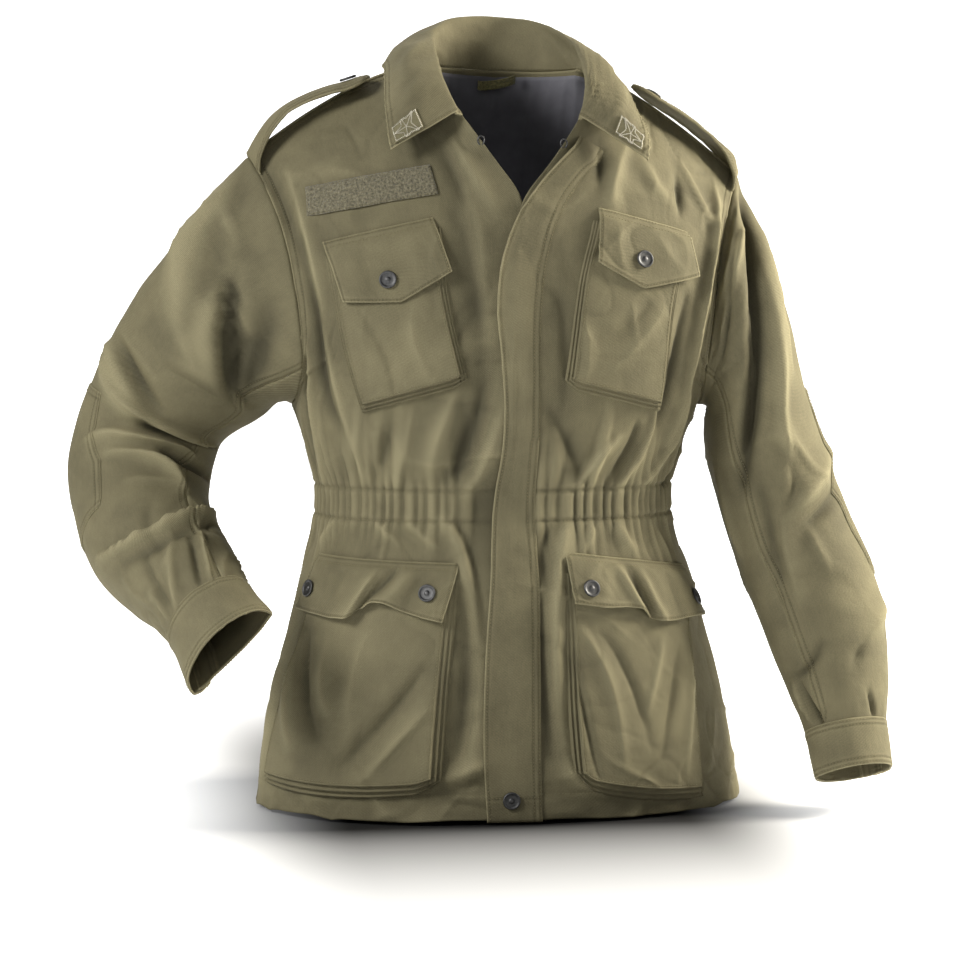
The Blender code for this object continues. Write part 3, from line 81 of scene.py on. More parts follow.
ARMHOLE_FRONT = [
    # share  x      y      z      from the armpit to the shoulder tip
    (0.0, 204.0, 0.0, -305.0),
    (0.125, 201.0, -37.0, -294.0),
    (0.25, 199.0, -66.0, -268.0),
    (0.375, 202.0, -78.0, -232.0),
    (0.5, 207.0, -76.0, -194.0),
    (0.625, 213.0, -65.0, -157.0),
    (0.75, 222.0, -47.0, -122.0),
    (0.875, 234.0, -22.0, -91.0),
    (1.0, 246.0, 6.0, -67.0),
]
ARMHOLE_BACK = [
    # share  x      y     z
    (0.0, 204.0, 0.0, -305.0),
    (0.125, 203.0, 36.0, -292.0),
    (0.25, 203.0, 62.0, -264.0),
    (0.375, 206.0, 76.0, -229.0),
    (0.5, 211.0, 80.0, -191.0),
    (0.625, 217.0, 74.0, -155.0),
    (0.75, 226.0, 57.0, -121.0),
    (0.875, 237.0, 31.0, -92.0),
    (1.0, 246.0, 6.0, -67.0),
]
NECK_SHIFT = 9.0
FRONT_EDGE = [
    # share  x     y       z      opening, open V and neck seam
    (0.0, 0.0, -131.0, -305.0),
    (0.125, 0.0, -133.0, -252.0),
    (0.25, 0.0, -132.0, -200.0),
    (0.375, 0.0, -126.0, -148.0),
    (0.5, 0.0, -115.0, -103.0),
    (0.625, 28.0, -103.0, -62.0),
    (0.75, 57.0, -88.0, -22.0),
    (0.875, 76.0, -52.0, 8.0),
    (1.0, 78.0, -8.0, 30.0),
]
BACK_EDGE = [
    # share  y      z
    (0.0, 124.0, -305.0),
    (0.25, 130.0, -222.0),
    (0.5, 128.0, -138.0),
    (0.75, 110.0, -54.0),
    (1.0, 66.0, 27.0),
]
SHOULDER_SEAM = [
    # share  x      y     z
    (0.0, 246.0, 6.0, -67.0),
    (0.35, 184.0, 3.0, -21.0),
    (0.7, 124.0, 0.0, 14.0),
    (1.0, 78.0, -8.0, 30.0),
]
SHOULDER_SHARE = 2.0 / 3.0
OPENING_LINE = [
    # level  x
    (-700.0, -5.0),
    (-460.0, -4.0),
    (-305.0, 0.0),
    (-200.0, 1.0),
    (-152.5, 9.0),
    (0.0, 9.0),
]
FOLD_GAIN = 1.5                 # the cloth folds deeper than the depths in the tables below
PANEL = 230.0                   # usual width of half a panel, that turns shares into millimetres
GATHERS = {"front": (21, 0.91), "back": (13, 1.0)}      # pleats, and the gathered share of the width
FRONT_FOLDS = [
    # side, start (share, level), middle, end, width, depth, lean
    (-1, 0.05, -212, 0.21, -312, 0.19, -378, 7, 5, 0),
    (-1, 0.10, -116, 0.18, -226, 0.38, -322, 8, -5, 0),
    (-1, 0.19, -208, 0.38, -292, 0.48, -372, 6, 4, 0),
    (-1, 0.05, -222, 0.14, -312, 0.09, -378, 5, -4, 0),
    (-1, 0.62, -310, 0.58, -342, 0.51, -374, 7, -3, 0),
    (-1, 0.68, -308, 0.66, -342, 0.62, -376, 6, 3, 0),
    (-1, 0.83, -288, 0.78, -326, 0.75, -360, 9, 4, 0),
    (-1, 0.91, -284, 0.86, -342, 0.81, -370, 9, -6, 0),
    (-1, 0.96, -310, 0.92, -354, 0.88, -380, 7, 4, 0),
    (-1, 0.80, -150, 0.88, -222, 0.91, -272, 14, -4, 0),
    (-1, 0.86, -134, 0.89, -192, 0.93, -252, 10, 3, 0),
    (-1, 0.91, -94, 0.91, -128, 0.94, -158, 9, 3, 0),
    (-1, 0.84, -94, 0.84, -124, 0.84, -146, 9, -3, 0),
    (-1, 0.05, -28, 0.06, -76, 0.08, -128, 12, -3, 0),
    (-1, 0.15, -52, 0.15, -130, 0.19, -188, 11, 5, 0),
    (1, 0.12, -50, 0.11, -154, 0.39, -336, 9, 7, 0.3),
    (1, 0.25, -178, 0.41, -280, 0.51, -344, 7, -5, 0),
    (1, 0.37, -70, 0.34, -86, 0.33, -102, 6, -4, 0),
    (1, 0.35, -52, 0.23, -70, 0.09, -86, 5, 3, 0),
    (1, 0.59, -78, 0.49, -94, 0.37, -100, 8, 3, 0),
    (1, 0.84, -88, 0.79, -102, 0.76, -118, 10, -5, 0),
    (1, 0.69, -66, 0.71, -110, 0.68, -130, 12, 4, 0),
    (1, 0.89, -306, 0.83, -336, 0.76, -372, 6, -4, 0),
    (1, 0.65, -330, 0.73, -354, 0.78, -378, 5, 5, 0.4),
    (1, 0.49, -304, 0.52, -338, 0.61, -374, 7, 6, 0.4),
    (1, 0.57, -316, 0.59, -340, 0.66, -376, 5, -4, 0),
    (1, 0.29, -284, 0.36, -338, 0.48, -378, 7, 6, 0.4),
    (1, 0.08, -312, 0.15, -358, 0.29, -384, 6, -5, 0),
    (1, 0.85, -220, 0.84, -264, 0.86, -314, 10, -3, 0),
    (-1, 0.79, -410, 0.87, -446, 0.91, -522, 8, 5, 0),
    (-1, 0.83, -412, 0.89, -446, 0.93, -522, 6, -5, 0),
    (-1, 0.86, -474, 0.89, -562, 0.87, -638, 8, -5, 0),
    (-1, 0.91, -522, 0.92, -600, 0.90, -658, 9, 4, 0),
    (-1, 0.28, -414, 0.22, -428, 0.19, -442, 6, 3, 0),
    (-1, 0.50, -410, 0.58, -424, 0.64, -436, 5, 3, 0),
    (-1, 0.66, -410, 0.71, -424, 0.77, -434, 5, 3, 0),
    (-1, 0.83, -660, 0.89, -650, 0.94, -642, 7, 3, 0),
    (-1, 0.86, -676, 0.91, -662, 0.93, -668, 7, -2, 0),
    (-1, 0.05, -470, 0.08, -580, 0.10, -690, 22, 5, 0),
    (1, 0.87, -418, 0.90, -442, 0.89, -476, 6, -4, 0),
    (1, 0.83, -424, 0.88, -504, 0.88, -626, 6, 6, 0),
    (1, 0.92, -488, 0.92, -552, 0.91, -636, 7, -5, 0),
    (1, 0.88, -632, 0.86, -658, 0.81, -674, 6, 4, 0),
    (1, 0.71, -418, 0.74, -430, 0.77, -442, 5, 3, 0),
    (1, 0.61, -420, 0.58, -434, 0.56, -448, 6, 4, 0),
    (1, 0.39, -422, 0.36, -440, 0.34, -460, 6, 3, 0),
    (1, 0.05, -470, 0.08, -580, 0.10, -690, 22, 5, 0),
]
BACK_FOLDS = [
    # side, start (share, level), middle, end, width, depth, lean
    (-1, 0.35, -130, 0.20, -220, 0.10, -290, 16, 6, 0),
    (-1, 0.26, -160, 0.14, -240, 0.08, -330, 9, -4, 0),
    (-1, 0.62, -230, 0.56, -290, 0.45, -350, 18, -6, 0),
    (-1, 0.72, -260, 0.66, -320, 0.62, -372, 9, 4, 0),
    (-1, 0.30, -290, 0.36, -340, 0.34, -376, 8, 4, 0),
    (-1, 0.20, -450, 0.18, -560, 0.22, -690, 20, -6, 0),
    (-1, 0.40, -430, 0.36, -520, 0.38, -640, 12, 4, 0),
    (-1, 0.55, -440, 0.50, -560, 0.50, -695, 24, 7, 0),
    (-1, 0.78, -425, 0.80, -520, 0.76, -660, 13, -4, 0),
    (-1, 0.90, -420, 0.88, -500, 0.91, -600, 11, 4, 0),
    (1, 0.35, -120, 0.18, -215, 0.10, -285, 16, 6, 0),
    (1, 0.24, -150, 0.12, -230, 0.08, -320, 9, -4, 0),
    (1, 0.66, -240, 0.60, -290, 0.50, -350, 18, -6, 0),
    (1, 0.74, -250, 0.70, -310, 0.60, -374, 9, 4, 0),
    (1, 0.28, -300, 0.36, -345, 0.40, -378, 8, 4, 0),
    (1, 0.18, -450, 0.20, -560, 0.24, -690, 20, -6, 0),
    (1, 0.42, -426, 0.38, -500, 0.40, -620, 12, 4, 0),
    (1, 0.50, -440, 0.54, -560, 0.55, -695, 24, 7, 0),
    (1, 0.76, -430, 0.80, -540, 0.78, -660, 13, -4, 0),
    (1, 0.92, -424, 0.90, -520, 0.93, -620, 11, 4, 0),
]


def cell_weights(knots, at):
    """Cell of each place among the knots, with its four cubic weights."""
    at = np.clip(at, knots[0], knots[-1])
    cell = np.clip(np.searchsorted(knots, at, side="right") - 1, 0, len(knots) - 2)
    width = knots[cell + 1] - knots[cell]
    t = (at - knots[cell]) / width
    values = np.stack([(1 + 2 * t) * (1 - t) ** 2, t**2 * (3 - 2 * t)])
    slopes = np.stack([t * (1 - t) ** 2, t**2 * (t - 1)]) * width
    return cell, values, slopes


def smooth(knots, values, at):
    """Read the smooth curve through values, given at knots, at the places in at."""
    knots, values = np.asarray(knots, dtype=float), np.asarray(values, dtype=float)
    tangents = np.gradient(values, knots, axis=0)
    cell, shares, leans = cell_weights(knots, np.asarray(at, dtype=float))
    shares, leans = (w.reshape(w.shape + (1,) * (values.ndim - 1)) for w in (shares, leans))
    return sum(shares[k] * values[cell + k] + leans[k] * tangents[cell + k] for k in (0, 1))


def table_curve(table, at):
    """Smooth curve through a table whose first column holds the knots."""
    rows = np.array(table, dtype=float)
    return smooth(rows[:, 0], rows[:, 1:], at)


def eased(t):
    """Share from 0 to 1 that starts and stops softly."""
    return t * t * (3 - 2 * t)


def unit(vectors):
    return vectors / np.maximum(np.linalg.norm(vectors, axis=-1, keepdims=True), 1e-9)


NET_U = np.linspace(0.0, 1.0, 37)
NET_LOW = np.linspace(HEM, ARMPIT, 41)
NET_HIGH = np.linspace(0.0, 1.0, 33)


def lower_row(level, back):
    """Quarter ring of the body below the arms, from the side seam to the centre."""
    half_width, front, rear, side_pull, front_pull, back_pull = table_curve(BODY, level)
    depth = rear if back else -front
    side_pull = side_pull * (1.12 if back else 1.0)
    start = np.array([half_width, 0.0, level])
    end = np.array([0.0, depth, level])
    from_side = start + [0.0, math.copysign(side_pull, depth), 0.0]
    to_centre = end + [back_pull if back else front_pull, 0.0, 0.0]
    u = NET_U[:, None]
    ends = (1 - u) ** 3 * start + u**3 * end
    return ends + 3 * u * (1 - u) ** 2 * from_side + 3 * u**2 * (1 - u) * to_centre


def body_net(back):
    """Half of the body, as rows of points from hem to shoulder and from side seam to centre."""
    low = np.stack([lower_row(level, back) for level in NET_LOW])
    if back:
        seam = table_curve(SHOULDER_SEAM, np.clip(NET_U / SHOULDER_SHARE, 0.0, 1.0))
        turn = np.clip((NET_U - SHOULDER_SHARE) / (1.0 - SHOULDER_SHARE), 0.0, 1.0) * math.pi / 2
        neck = np.stack([78.0 * np.cos(turn), -8.0 + 74.0 * np.sin(turn), 30.0 - 3.0 * np.sin(turn)], axis=1)
        high = np.where((NET_U < SHOULDER_SHARE)[:, None], seam, neck)[None]
        centre = table_curve(BACK_EDGE, NET_HIGH)
        centre = np.concatenate([np.zeros((len(centre), 1)), centre], axis=1)[:, None]
        side = table_curve(ARMHOLE_BACK, NET_HIGH)[:, None]
    else:
        high = table_curve(SHOULDER_SEAM, NET_U)[None]
        centre = table_curve(FRONT_EDGE, NET_HIGH)[:, None]
        side = table_curve(ARMHOLE_FRONT, NET_HIGH)[:, None]
    f = NET_HIGH[:, None, None]
    u = NET_U[None, :, None]
    ring = low[-1:]
    corners = (1 - f) * ((1 - u) * ring[:, :1] + u * ring[:, -1:])
    corners = corners + f * ((1 - u) * high[:, :1] + u * high[:, -1:])
    upper = (1 - f) * ring + f * high + (1 - u) * side + u * centre - corners
    net = np.concatenate([low[:-1], upper])
    levels = np.concatenate([NET_LOW[:-1], ARMPIT * (1.0 - NET_HIGH)])
    weight = np.clip((levels - (ARMPIT - 60.0)) / 60.0, 0.0, 1.0)[1:-1, None, None]
    for _ in range(60):
        around = (net[:-2, 1:-1] + net[2:, 1:-1] + net[1:-1, :-2] + net[1:-1, 2:]) / 4
        net[1:-1, 1:-1] += 0.5 * weight * (around - net[1:-1, 1:-1])
    along_u = np.gradient(net, NET_U, axis=1)
    return levels, net, along_u, np.gradient(net, levels, axis=0), np.gradient(along_u, levels, axis=0)


NETS = {"front": body_net(False), "back": body_net(True)}


def net_points(piece, u, level):
    levels, rows, along_u, along_level, both = NETS[piece]
    i, level_values, level_slopes = cell_weights(levels, np.ravel(level))
    j, u_values, u_slopes = cell_weights(NET_U, np.ravel(u))
    out = np.zeros((len(i), 3))
    for a in (0, 1):
        for b in (0, 1):
            out += (level_values[a] * u_values[b])[:, None] * rows[i + a, j + b]
            out += (level_values[a] * u_slopes[b])[:, None] * along_u[i + a, j + b]
            out += (level_slopes[a] * u_values[b])[:, None] * along_level[i + a, j + b]
            out += (level_slopes[a] * u_slopes[b])[:, None] * both[i + a, j + b]
    return out.reshape(np.shape(u) + (3,))


def tilt(points):
    """Raise the right shoulder, lower the left one and lean the jacket as it hangs."""
    points = np.array(points, dtype=float)
    share = eased(np.clip((points[..., 2] + 420.0) / 340.0, 0.0, 1.0))
    sway = table_curve(SWAY, points[..., 2])[..., 0]
    points[..., 2] -= SHOULDER_TILT * points[..., 0] * share
    points[..., 0] += sway
    return points


def body_plain(piece, side, u, level):
    """The filled-out body without folds: points, and normals that point out of the cloth."""
    u = np.asarray(u, dtype=float)
    level = np.asarray(level, dtype=float)
    at = net_points(piece, u, level)
    du = [net_points(piece, np.clip(u + step, 0, 1), level) for step in (-0.004, 0.004)]
    up = [net_points(piece, u, np.clip(level + step, HEM, 0)) for step in (-2.0, 2.0)]
    normal = unit(np.cross(du[1] - du[0], up[1] - up[0]) * (-1.0 if piece == "front" else 1.0))
    if piece == "front":
        drift = table_curve(OPENING_LINE, level)[..., 0]
    else:
        drift = np.where(level > ARMPIT, NECK_SHIFT * (1.0 - level / ARMPIT), 0.0)
        # Round the middle of the back, where its two halves meet
        reach = 45.0
        rise = net_points(piece, np.ones_like(u), level) - net_points(piece, np.full_like(u, 0.96), level)
        near = np.clip(1.0 - np.abs(at[..., 0]) / reach, 0.0, 1.0) ** 2
        at[..., 1] -= reach / 2 * near * rise[..., 1] / np.maximum(np.abs(rise[..., 0]), 1e-6)
        normal[..., 0] *= 1.0 - near
    at[..., 0] *= side
    normal[..., 0] *= side
    at[..., 0] += drift * u * u
    return tilt(at), normal


def crease(x, y, path, width, depth, lean):
    """Soft ridge (+) or trough (-) along a bent path; a lean makes one of its sides steeper."""
    start, middle, end = path
    t = np.linspace(0.0, 1.0, 9)[:, None]
    pull = 2 * middle - (start + end) / 2
    line = (1 - t) ** 2 * start + 2 * t * (1 - t) * pull + t**2 * end
    height = np.zeros(x.shape)
    low, high = line.min(axis=0) - 4 * width, line.max(axis=0) + 4 * width
    near = (x > low[0]) & (x < high[0]) & (y > low[1]) & (y < high[1])
    if not near.any():
        return height
    px, py = x[near], y[near]
    best = np.full(px.shape, 1e9)
    share = np.zeros(px.shape)
    hand = np.zeros(px.shape)
    for k in range(8):
        ax, ay = px - line[k, 0], py - line[k, 1]
        bx, by = line[k + 1] - line[k]
        along = np.clip((ax * bx + ay * by) / (bx * bx + by * by), 0.0, 1.0)
        away = np.hypot(ax - along * bx, ay - along * by)
        closer = away < best
        best = np.where(closer, away, best)
        share = np.where(closer, (k + along) / 8, share)
        hand = np.where(closer, np.sign(ax * by - ay * bx), hand)
    reach = best / (width * (1.0 + lean * hand))
    shape = 1.2 * np.exp(-(reach**1.3)) - 0.2 * np.exp(-((reach / 2.2) ** 2))
    height[near] = depth * shape * np.sin(np.pi * (0.1 + 0.8 * share)) ** 0.8
    return height


def creases(rows, across, along, scale, gain=1.0, slim=1.0):
    """All the folds of a table's rows: start, middle, end, width, depth and lean."""
    x, y = across * scale[0], along * scale[1]
    total = np.zeros(np.shape(across))
    for row in rows:
        path = np.array(row[:6], dtype=float).reshape(3, 2) * scale
        total += gain * crease(x, y, path, slim * row[6], *row[7:])
    return total


def folds_height(table, side, across, along, scale):
    """The folds that a table gives for one side."""
    return creases([row[1:] for row in table if row[0] == side], across, along, scale, FOLD_GAIN)


def dapple(x, y, size, seed):
    """Smooth random swell between -1 and 1 whose bumps lie about a size apart."""
    table = np.random.default_rng(seed).uniform(-1.0, 1.0, (64, 64))
    i, j = x / size, y / size
    a, b = np.floor(i).astype(int), np.floor(j).astype(int)
    s, t = eased(i - a), eased(j - b)
    a0, a1, b0, b1 = a % 64, (a + 1) % 64, b % 64, (b + 1) % 64
    low = (1 - t) * table[a0, b0] + t * table[a0, b1]
    return (1 - s) * low + s * ((1 - t) * table[a1, b0] + t * table[a1, b1])


def rumple(x, y, seed):
    """Small crumpling of washed drill, in mm: slow swells, and crisp broken lines in some places."""
    bend_x, bend_y = x + 9.0 * dapple(x, y, 60.0, seed + 5), y + 9.0 * dapple(x, y, 60.0, seed + 6)
    swell = 0.8 * dapple(x, y, 43.0, seed) + 0.4 * dapple(x + y, y - x, 24.0, seed + 1)
    line = 1.0 - np.abs(dapple(bend_x + 0.5 * bend_y, bend_y - 0.4 * bend_x, 62.0, seed + 2))
    short = 1.0 - np.abs(dapple(bend_x - 0.6 * bend_y, bend_y + 0.3 * bend_x, 38.0, seed + 3))
    where = np.clip(0.6 + dapple(x, y, 80.0, seed + 4), 0.0, 1.4)
    return swell + where * (2.0 * line**12 - 1.5 * short**11)


def gathers_height(piece, side, u, level):
    """Pleats of the drawn-in waist: each runs its own way out of the casing."""
    count, share = GATHERS[piece]
    share += 0.015 * side * (piece == "front")
    inside = np.clip(u / share, 0.0, 1.0)
    fade = np.clip((1.0 - u / share) / 0.015, 0.0, 1.0) if piece == "front" else 1.0
    over = np.clip(level - CASING_HIGH, 0.0, None)
    under = np.clip(CASING_LOW - level, 0.0, None)
    drift = 0.16 * np.sin(23.0 * inside + side) + 0.10 * np.sin(51.0 * inside + 2.0 * side)
    lean = 0.010 * over * np.sin(9.0 * inside + side) - 0.008 * under * np.sin(8.0 * inside + 1.0 + side)
    pleat = count * inside + drift + lean
    table = np.random.default_rng(5 + side + 7 * count).uniform(0.0, 1.0, (4, count + 6))
    number = np.clip(np.floor(pleat).astype(int) + 2, 0, count + 5)
    pillow = np.abs(np.sin(np.pi * pleat)) ** 0.55
    depth = 3.6 + 1.6 * table[0][number]
    above = 9.0 + 70.0 * table[1][number] ** 2
    below = 8.0 + 52.0 * table[2][number] ** 2
    reach = np.exp(-((over / above) ** 1.6)) * np.exp(-((under / below) ** 1.6))
    pinch = sum(np.exp(-(((level - line) / 2.2) ** 2)) for line in (CASING_LOW, CASING_HIGH))
    return fade * reach * depth * pillow * (1.0 - 0.40 * pinch) - 0.7 * pinch


def panel_height(piece, side, u, level):
    """All the relief of a body panel, in mm out of the plain form."""
    table = FRONT_FOLDS if piece == "front" else BACK_FOLDS
    height = folds_height(table, side, u, level, (PANEL, 1.0))
    from_edge = np.minimum(u, 1.0 - u) if piece == "front" else u
    near_edge = np.clip(from_edge / 0.03, 0.0, 1.0)
    height *= near_edge * np.clip((SHOULDER - level) / 25.0, 0.0, 1.0)
    calm = np.exp(-(((level - CASING) / 30.0) ** 2))
    small = rumple(PANEL * u + 400.0 * side, level, 11)
    height += small * (1.0 - 0.8 * calm) * np.clip(-level / 30.0, 0.0, 1.0)
    height += gathers_height(piece, side, u, level)
    hem = np.clip((-668.0 - level) / 10.0, 0.0, 1.0)
    height += hem * (0.5 + 0.9 * dapple(PANEL * u + 300.0 * side, level, 9.0, 21) * np.clip(hem, 0.0, 0.8))
    height -= 0.5 * np.exp(-(((level - HEM_STITCH) / 1.3) ** 2))
    return height


def body_height(piece, side, u, level):
    """Height of a panel's cloth over its plain form; the two halves of the back meet at the middle."""
    height = panel_height(piece, side, u, level)
    if piece == "front":
        return height
    meet = 0.5 * eased(np.clip((u - 0.72) / 0.28, 0.0, 1.0))
    return (1.0 - meet) * height + meet * panel_height(piece, -side, u, level)


def spaced(length, step, fine=1.0, margin=11.0):
    """Places from 0 to 1 along a length, close together near both ends for the seams."""
    ends = np.arange(0.0, margin, fine)
    middle = np.linspace(margin, length - margin, max(2, int((length - 2 * margin) / step)))
    return np.concatenate([ends, middle, length - ends[::-1]]) / length


def path_lengths(line):
    """Length along a line at each of its points."""
    return np.concatenate([[0.0], np.cumsum(np.linalg.norm(np.diff(line, axis=0), axis=1))])


def run_lengths(points, axis):
    """Length along each row or column of a grid at each of its points."""
    steps = np.linalg.norm(np.diff(points, axis=axis), axis=2)
    start = np.zeros((1, points.shape[1])) if axis == 0 else np.zeros((points.shape[0], 1))
    return np.concatenate([start, np.cumsum(steps, axis=axis)], axis=axis)


def edge_distances(points):
    """Distance of each point from the first and last row, and from the first and last column."""
    down, across = run_lengths(points, 0), run_lengths(points, 1)
    return {"low": down, "high": down[-1:] - down, "first": across, "last": across[:, -1:] - across}


def sheet_normals(points, outward):
    return unit(np.cross(np.gradient(points, axis=1), np.gradient(points, axis=0)) * outward)


def press_seams(points, outward, seams, seed):
    """Sink the cloth into its seams and stitch lines and let it pucker beside them."""
    away = edge_distances(points)
    down, across = run_lengths(points, 0), run_lengths(points, 1)
    height = np.zeros(points.shape[:2])
    for edge, sink, rows in seams:
        run = across if edge in ("low", "high") else down
        d = away[edge]
        height -= sink * np.exp(-((d / 1.6) ** 2))
        for inset in rows:
            pucker = 0.30 * dapple(run, d, 6.5, seed) * np.exp(-(((d - inset) / 4.5) ** 2))
            height += pucker - 0.35 * np.exp(-(((d - inset) / 0.9) ** 2))
    return points + sheet_normals(points, outward) * height[..., None]


def tone(code):
    """Linear colour from a hexadecimal sRGB one."""
    parts = [int(code[k : k + 2], 16) / 255.0 for k in (1, 3, 5)]
    return tuple(p / 12.92 if p <= 0.04045 else ((p + 0.055) / 1.055) ** 2.4 for p in parts) + (1.0,)


def feed(tree, node, inputs):
    """Set a node's inputs: each is a value or the socket that feeds it."""
    for name, value in inputs.items():
        if isinstance(value, bpy.types.NodeSocket):
            tree.links.new(value, node.inputs[name])
        else:
            node.inputs[name].default_value = value


def put(tree, kind, inputs=None, **settings):
    """Add a shader node with its settings and inputs."""
    made = tree.nodes.new("ShaderNode" + kind)
    for name, value in settings.items():
        setattr(made, name, value)
    feed(tree, made, inputs or {})
    return made


def new_finish(name):
    """A material, its tree and its surface, with metres along the cloth and places on the piece."""
    made = bpy.data.materials.new(name)
    made.use_nodes = True
    tree = made.node_tree
    cloth = put(tree, "UVMap", uv_map="cloth").outputs["UV"]
    place = put(tree, "TexCoord").outputs["Object"]
    return made, tree, tree.nodes["Principled BSDF"], cloth, place


def drill_cloth(name, light, middle, dark):
    """Washed cotton drill, piece-dyed: a matt steep twill with a soft nap; ridges and seam edges are paler,
    partly rubbed wear and partly painted highlight, and hollows carry painted shade.
    """
    made, tree, skin, cloth, place = new_finish(name)
    # Uneven fading from washing: cloudy, about 60 mm across, with streaks along the warp
    cloud = put(tree, "TexNoise", {"Vector": place, "Scale": 17.0, "Detail": 4.0, "Roughness": 0.6})
    streak = put(tree, "Mapping", {"Vector": cloth, "Scale": (520.0, 60.0, 1.0)})
    warp = put(tree, "TexNoise", {"Vector": streak.outputs["Vector"], "Scale": 1.0, "Detail": 3.0})
    fade = put(tree, "Math", {0: warp.outputs["Fac"], 1: 0.22, 2: cloud.outputs["Fac"]},
               operation="MULTIPLY_ADD")
    faded = put(tree, "MapRange", {"Value": fade.outputs[0], "From Min": 0.42, "From Max": 0.80})
    base = put(tree, "Mix", {"Factor": faded.outputs[0], 6: tone(dark), 7: tone(middle)}, data_type="RGBA")
    # Ridges of folds and seam edges are painted paler, partly rubbed wear and partly painted highlight; hollows
    # and stitch grooves are darkened as painted shade
    relief_tone = put(tree, "Attribute", attribute_name="ridge")
    wear_and_highlight = put(tree, "MapRange", {"Value": relief_tone.outputs["Fac"], "From Min": 0.5, "From Max": 8.0,
                                  "To Max": 0.7})
    paled = put(tree, "Mix", {"Factor": wear_and_highlight.outputs[0], 6: base.outputs[2], 7: tone(light)},
                data_type="RGBA")
    # Painted shade: the hollows of the relief go towards a dark olive brown
    deep = put(tree, "MapRange", {"Value": relief_tone.outputs["Fac"], "From Min": -0.4, "From Max": -8.0,
                                  "To Max": 0.85})
    with_painted_shade = put(tree, "Mix", {"Factor": deep.outputs[0], 6: paled.outputs[2], 7: tone("#3d3a2c")},
                 data_type="RGBA")
    # Twill lines: 0.45 mm apart in the real cloth, drawn 1.3 mm apart so that they show
    turned = put(tree, "Mapping", {"Vector": cloth, "Rotation": (0.0, 0.0, math.radians(62.0))})
    twill = put(tree, "TexWave", {"Vector": turned.outputs["Vector"], "Scale": 240.0, "Distortion": 1.4,
                                  "Detail": 2.0, "Detail Scale": 3.0}, wave_type="BANDS")
    slub = put(tree, "TexNoise", {"Vector": cloth, "Scale": 900.0, "Detail": 2.0})
    shade = put(tree, "Mix", {"Factor": 0.16, 6: with_painted_shade.outputs[2], 7: twill.outputs["Color"]},
                data_type="RGBA", blend_type="OVERLAY")
    grain = put(tree, "Mix", {"Factor": 0.30, 6: shade.outputs[2], 7: slub.outputs["Fac"]},
                data_type="RGBA", blend_type="OVERLAY")
    weave = put(tree, "Bump", {"Height": twill.outputs["Fac"], "Strength": 0.35, "Distance": 0.0004})
    nap = put(tree, "TexNoise", {"Vector": place, "Scale": 210.0, "Detail": 5.0, "Roughness": 0.62})
    rough = put(tree, "Bump", {"Height": nap.outputs["Fac"], "Strength": 0.42, "Distance": 0.0013,
                               "Normal": weave.outputs["Normal"]})
    # Fine sharp creases that washing leaves, a few centimetres long
    ridged = put(tree, "TexNoise", {"Vector": place, "Scale": 19.0, "Detail": 2.5, "Roughness": 0.5,
                                    "Distortion": 0.6}, noise_type="RIDGED_MULTIFRACTAL")
    rough = put(tree, "Bump", {"Height": ridged.outputs["Fac"], "Strength": 0.32, "Distance": 0.004,
                               "Normal": rough.outputs["Normal"]})
    feed(tree, skin, {
        "Base Color": grain.outputs[2], "Normal": rough.outputs["Normal"], "Roughness": 0.82, "IOR": 1.45,
        "Specular IOR Level": 0.28, "Sheen Weight": 0.12, "Sheen Roughness": 0.45, "Sheen Tint": tone("#c9bf94")})
    return made


washed_drill = drill_cloth("washed olive drill", "#938c6e", "#736d54", "#605b46")


def seam_wear_and_shade(points, relief, seams):
    """Relief with each seam's pale rubbed edge (partly painted highlight), painted shade in its sunk stitch lines
    and paler bands beside them, for the cloth's colour.
    """
    away = edge_distances(points)
    for edge, _, rows in seams:
        d = away[edge]
        relief = relief + 5.0 * np.exp(-((d / 1.5) ** 2))
        for inset in rows:
            groove, beside = np.exp(-(((d - inset) / 1.1) ** 2)), np.exp(-(((d - inset) / 3.5) ** 2))
            relief = relief - 5.5 * groove + 1.6 * beside
    return relief


def add_piece(name, shape, nodes=()):
    """Put a shape on the jacket: it rides the body and stands for its nodes, if it has any."""
    made = bpy.data.objects.new(name, shape)
    bpy.context.scene.collection.objects.link(made)
    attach(made, "root")
    if nodes:
        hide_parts(*nodes)
    return made


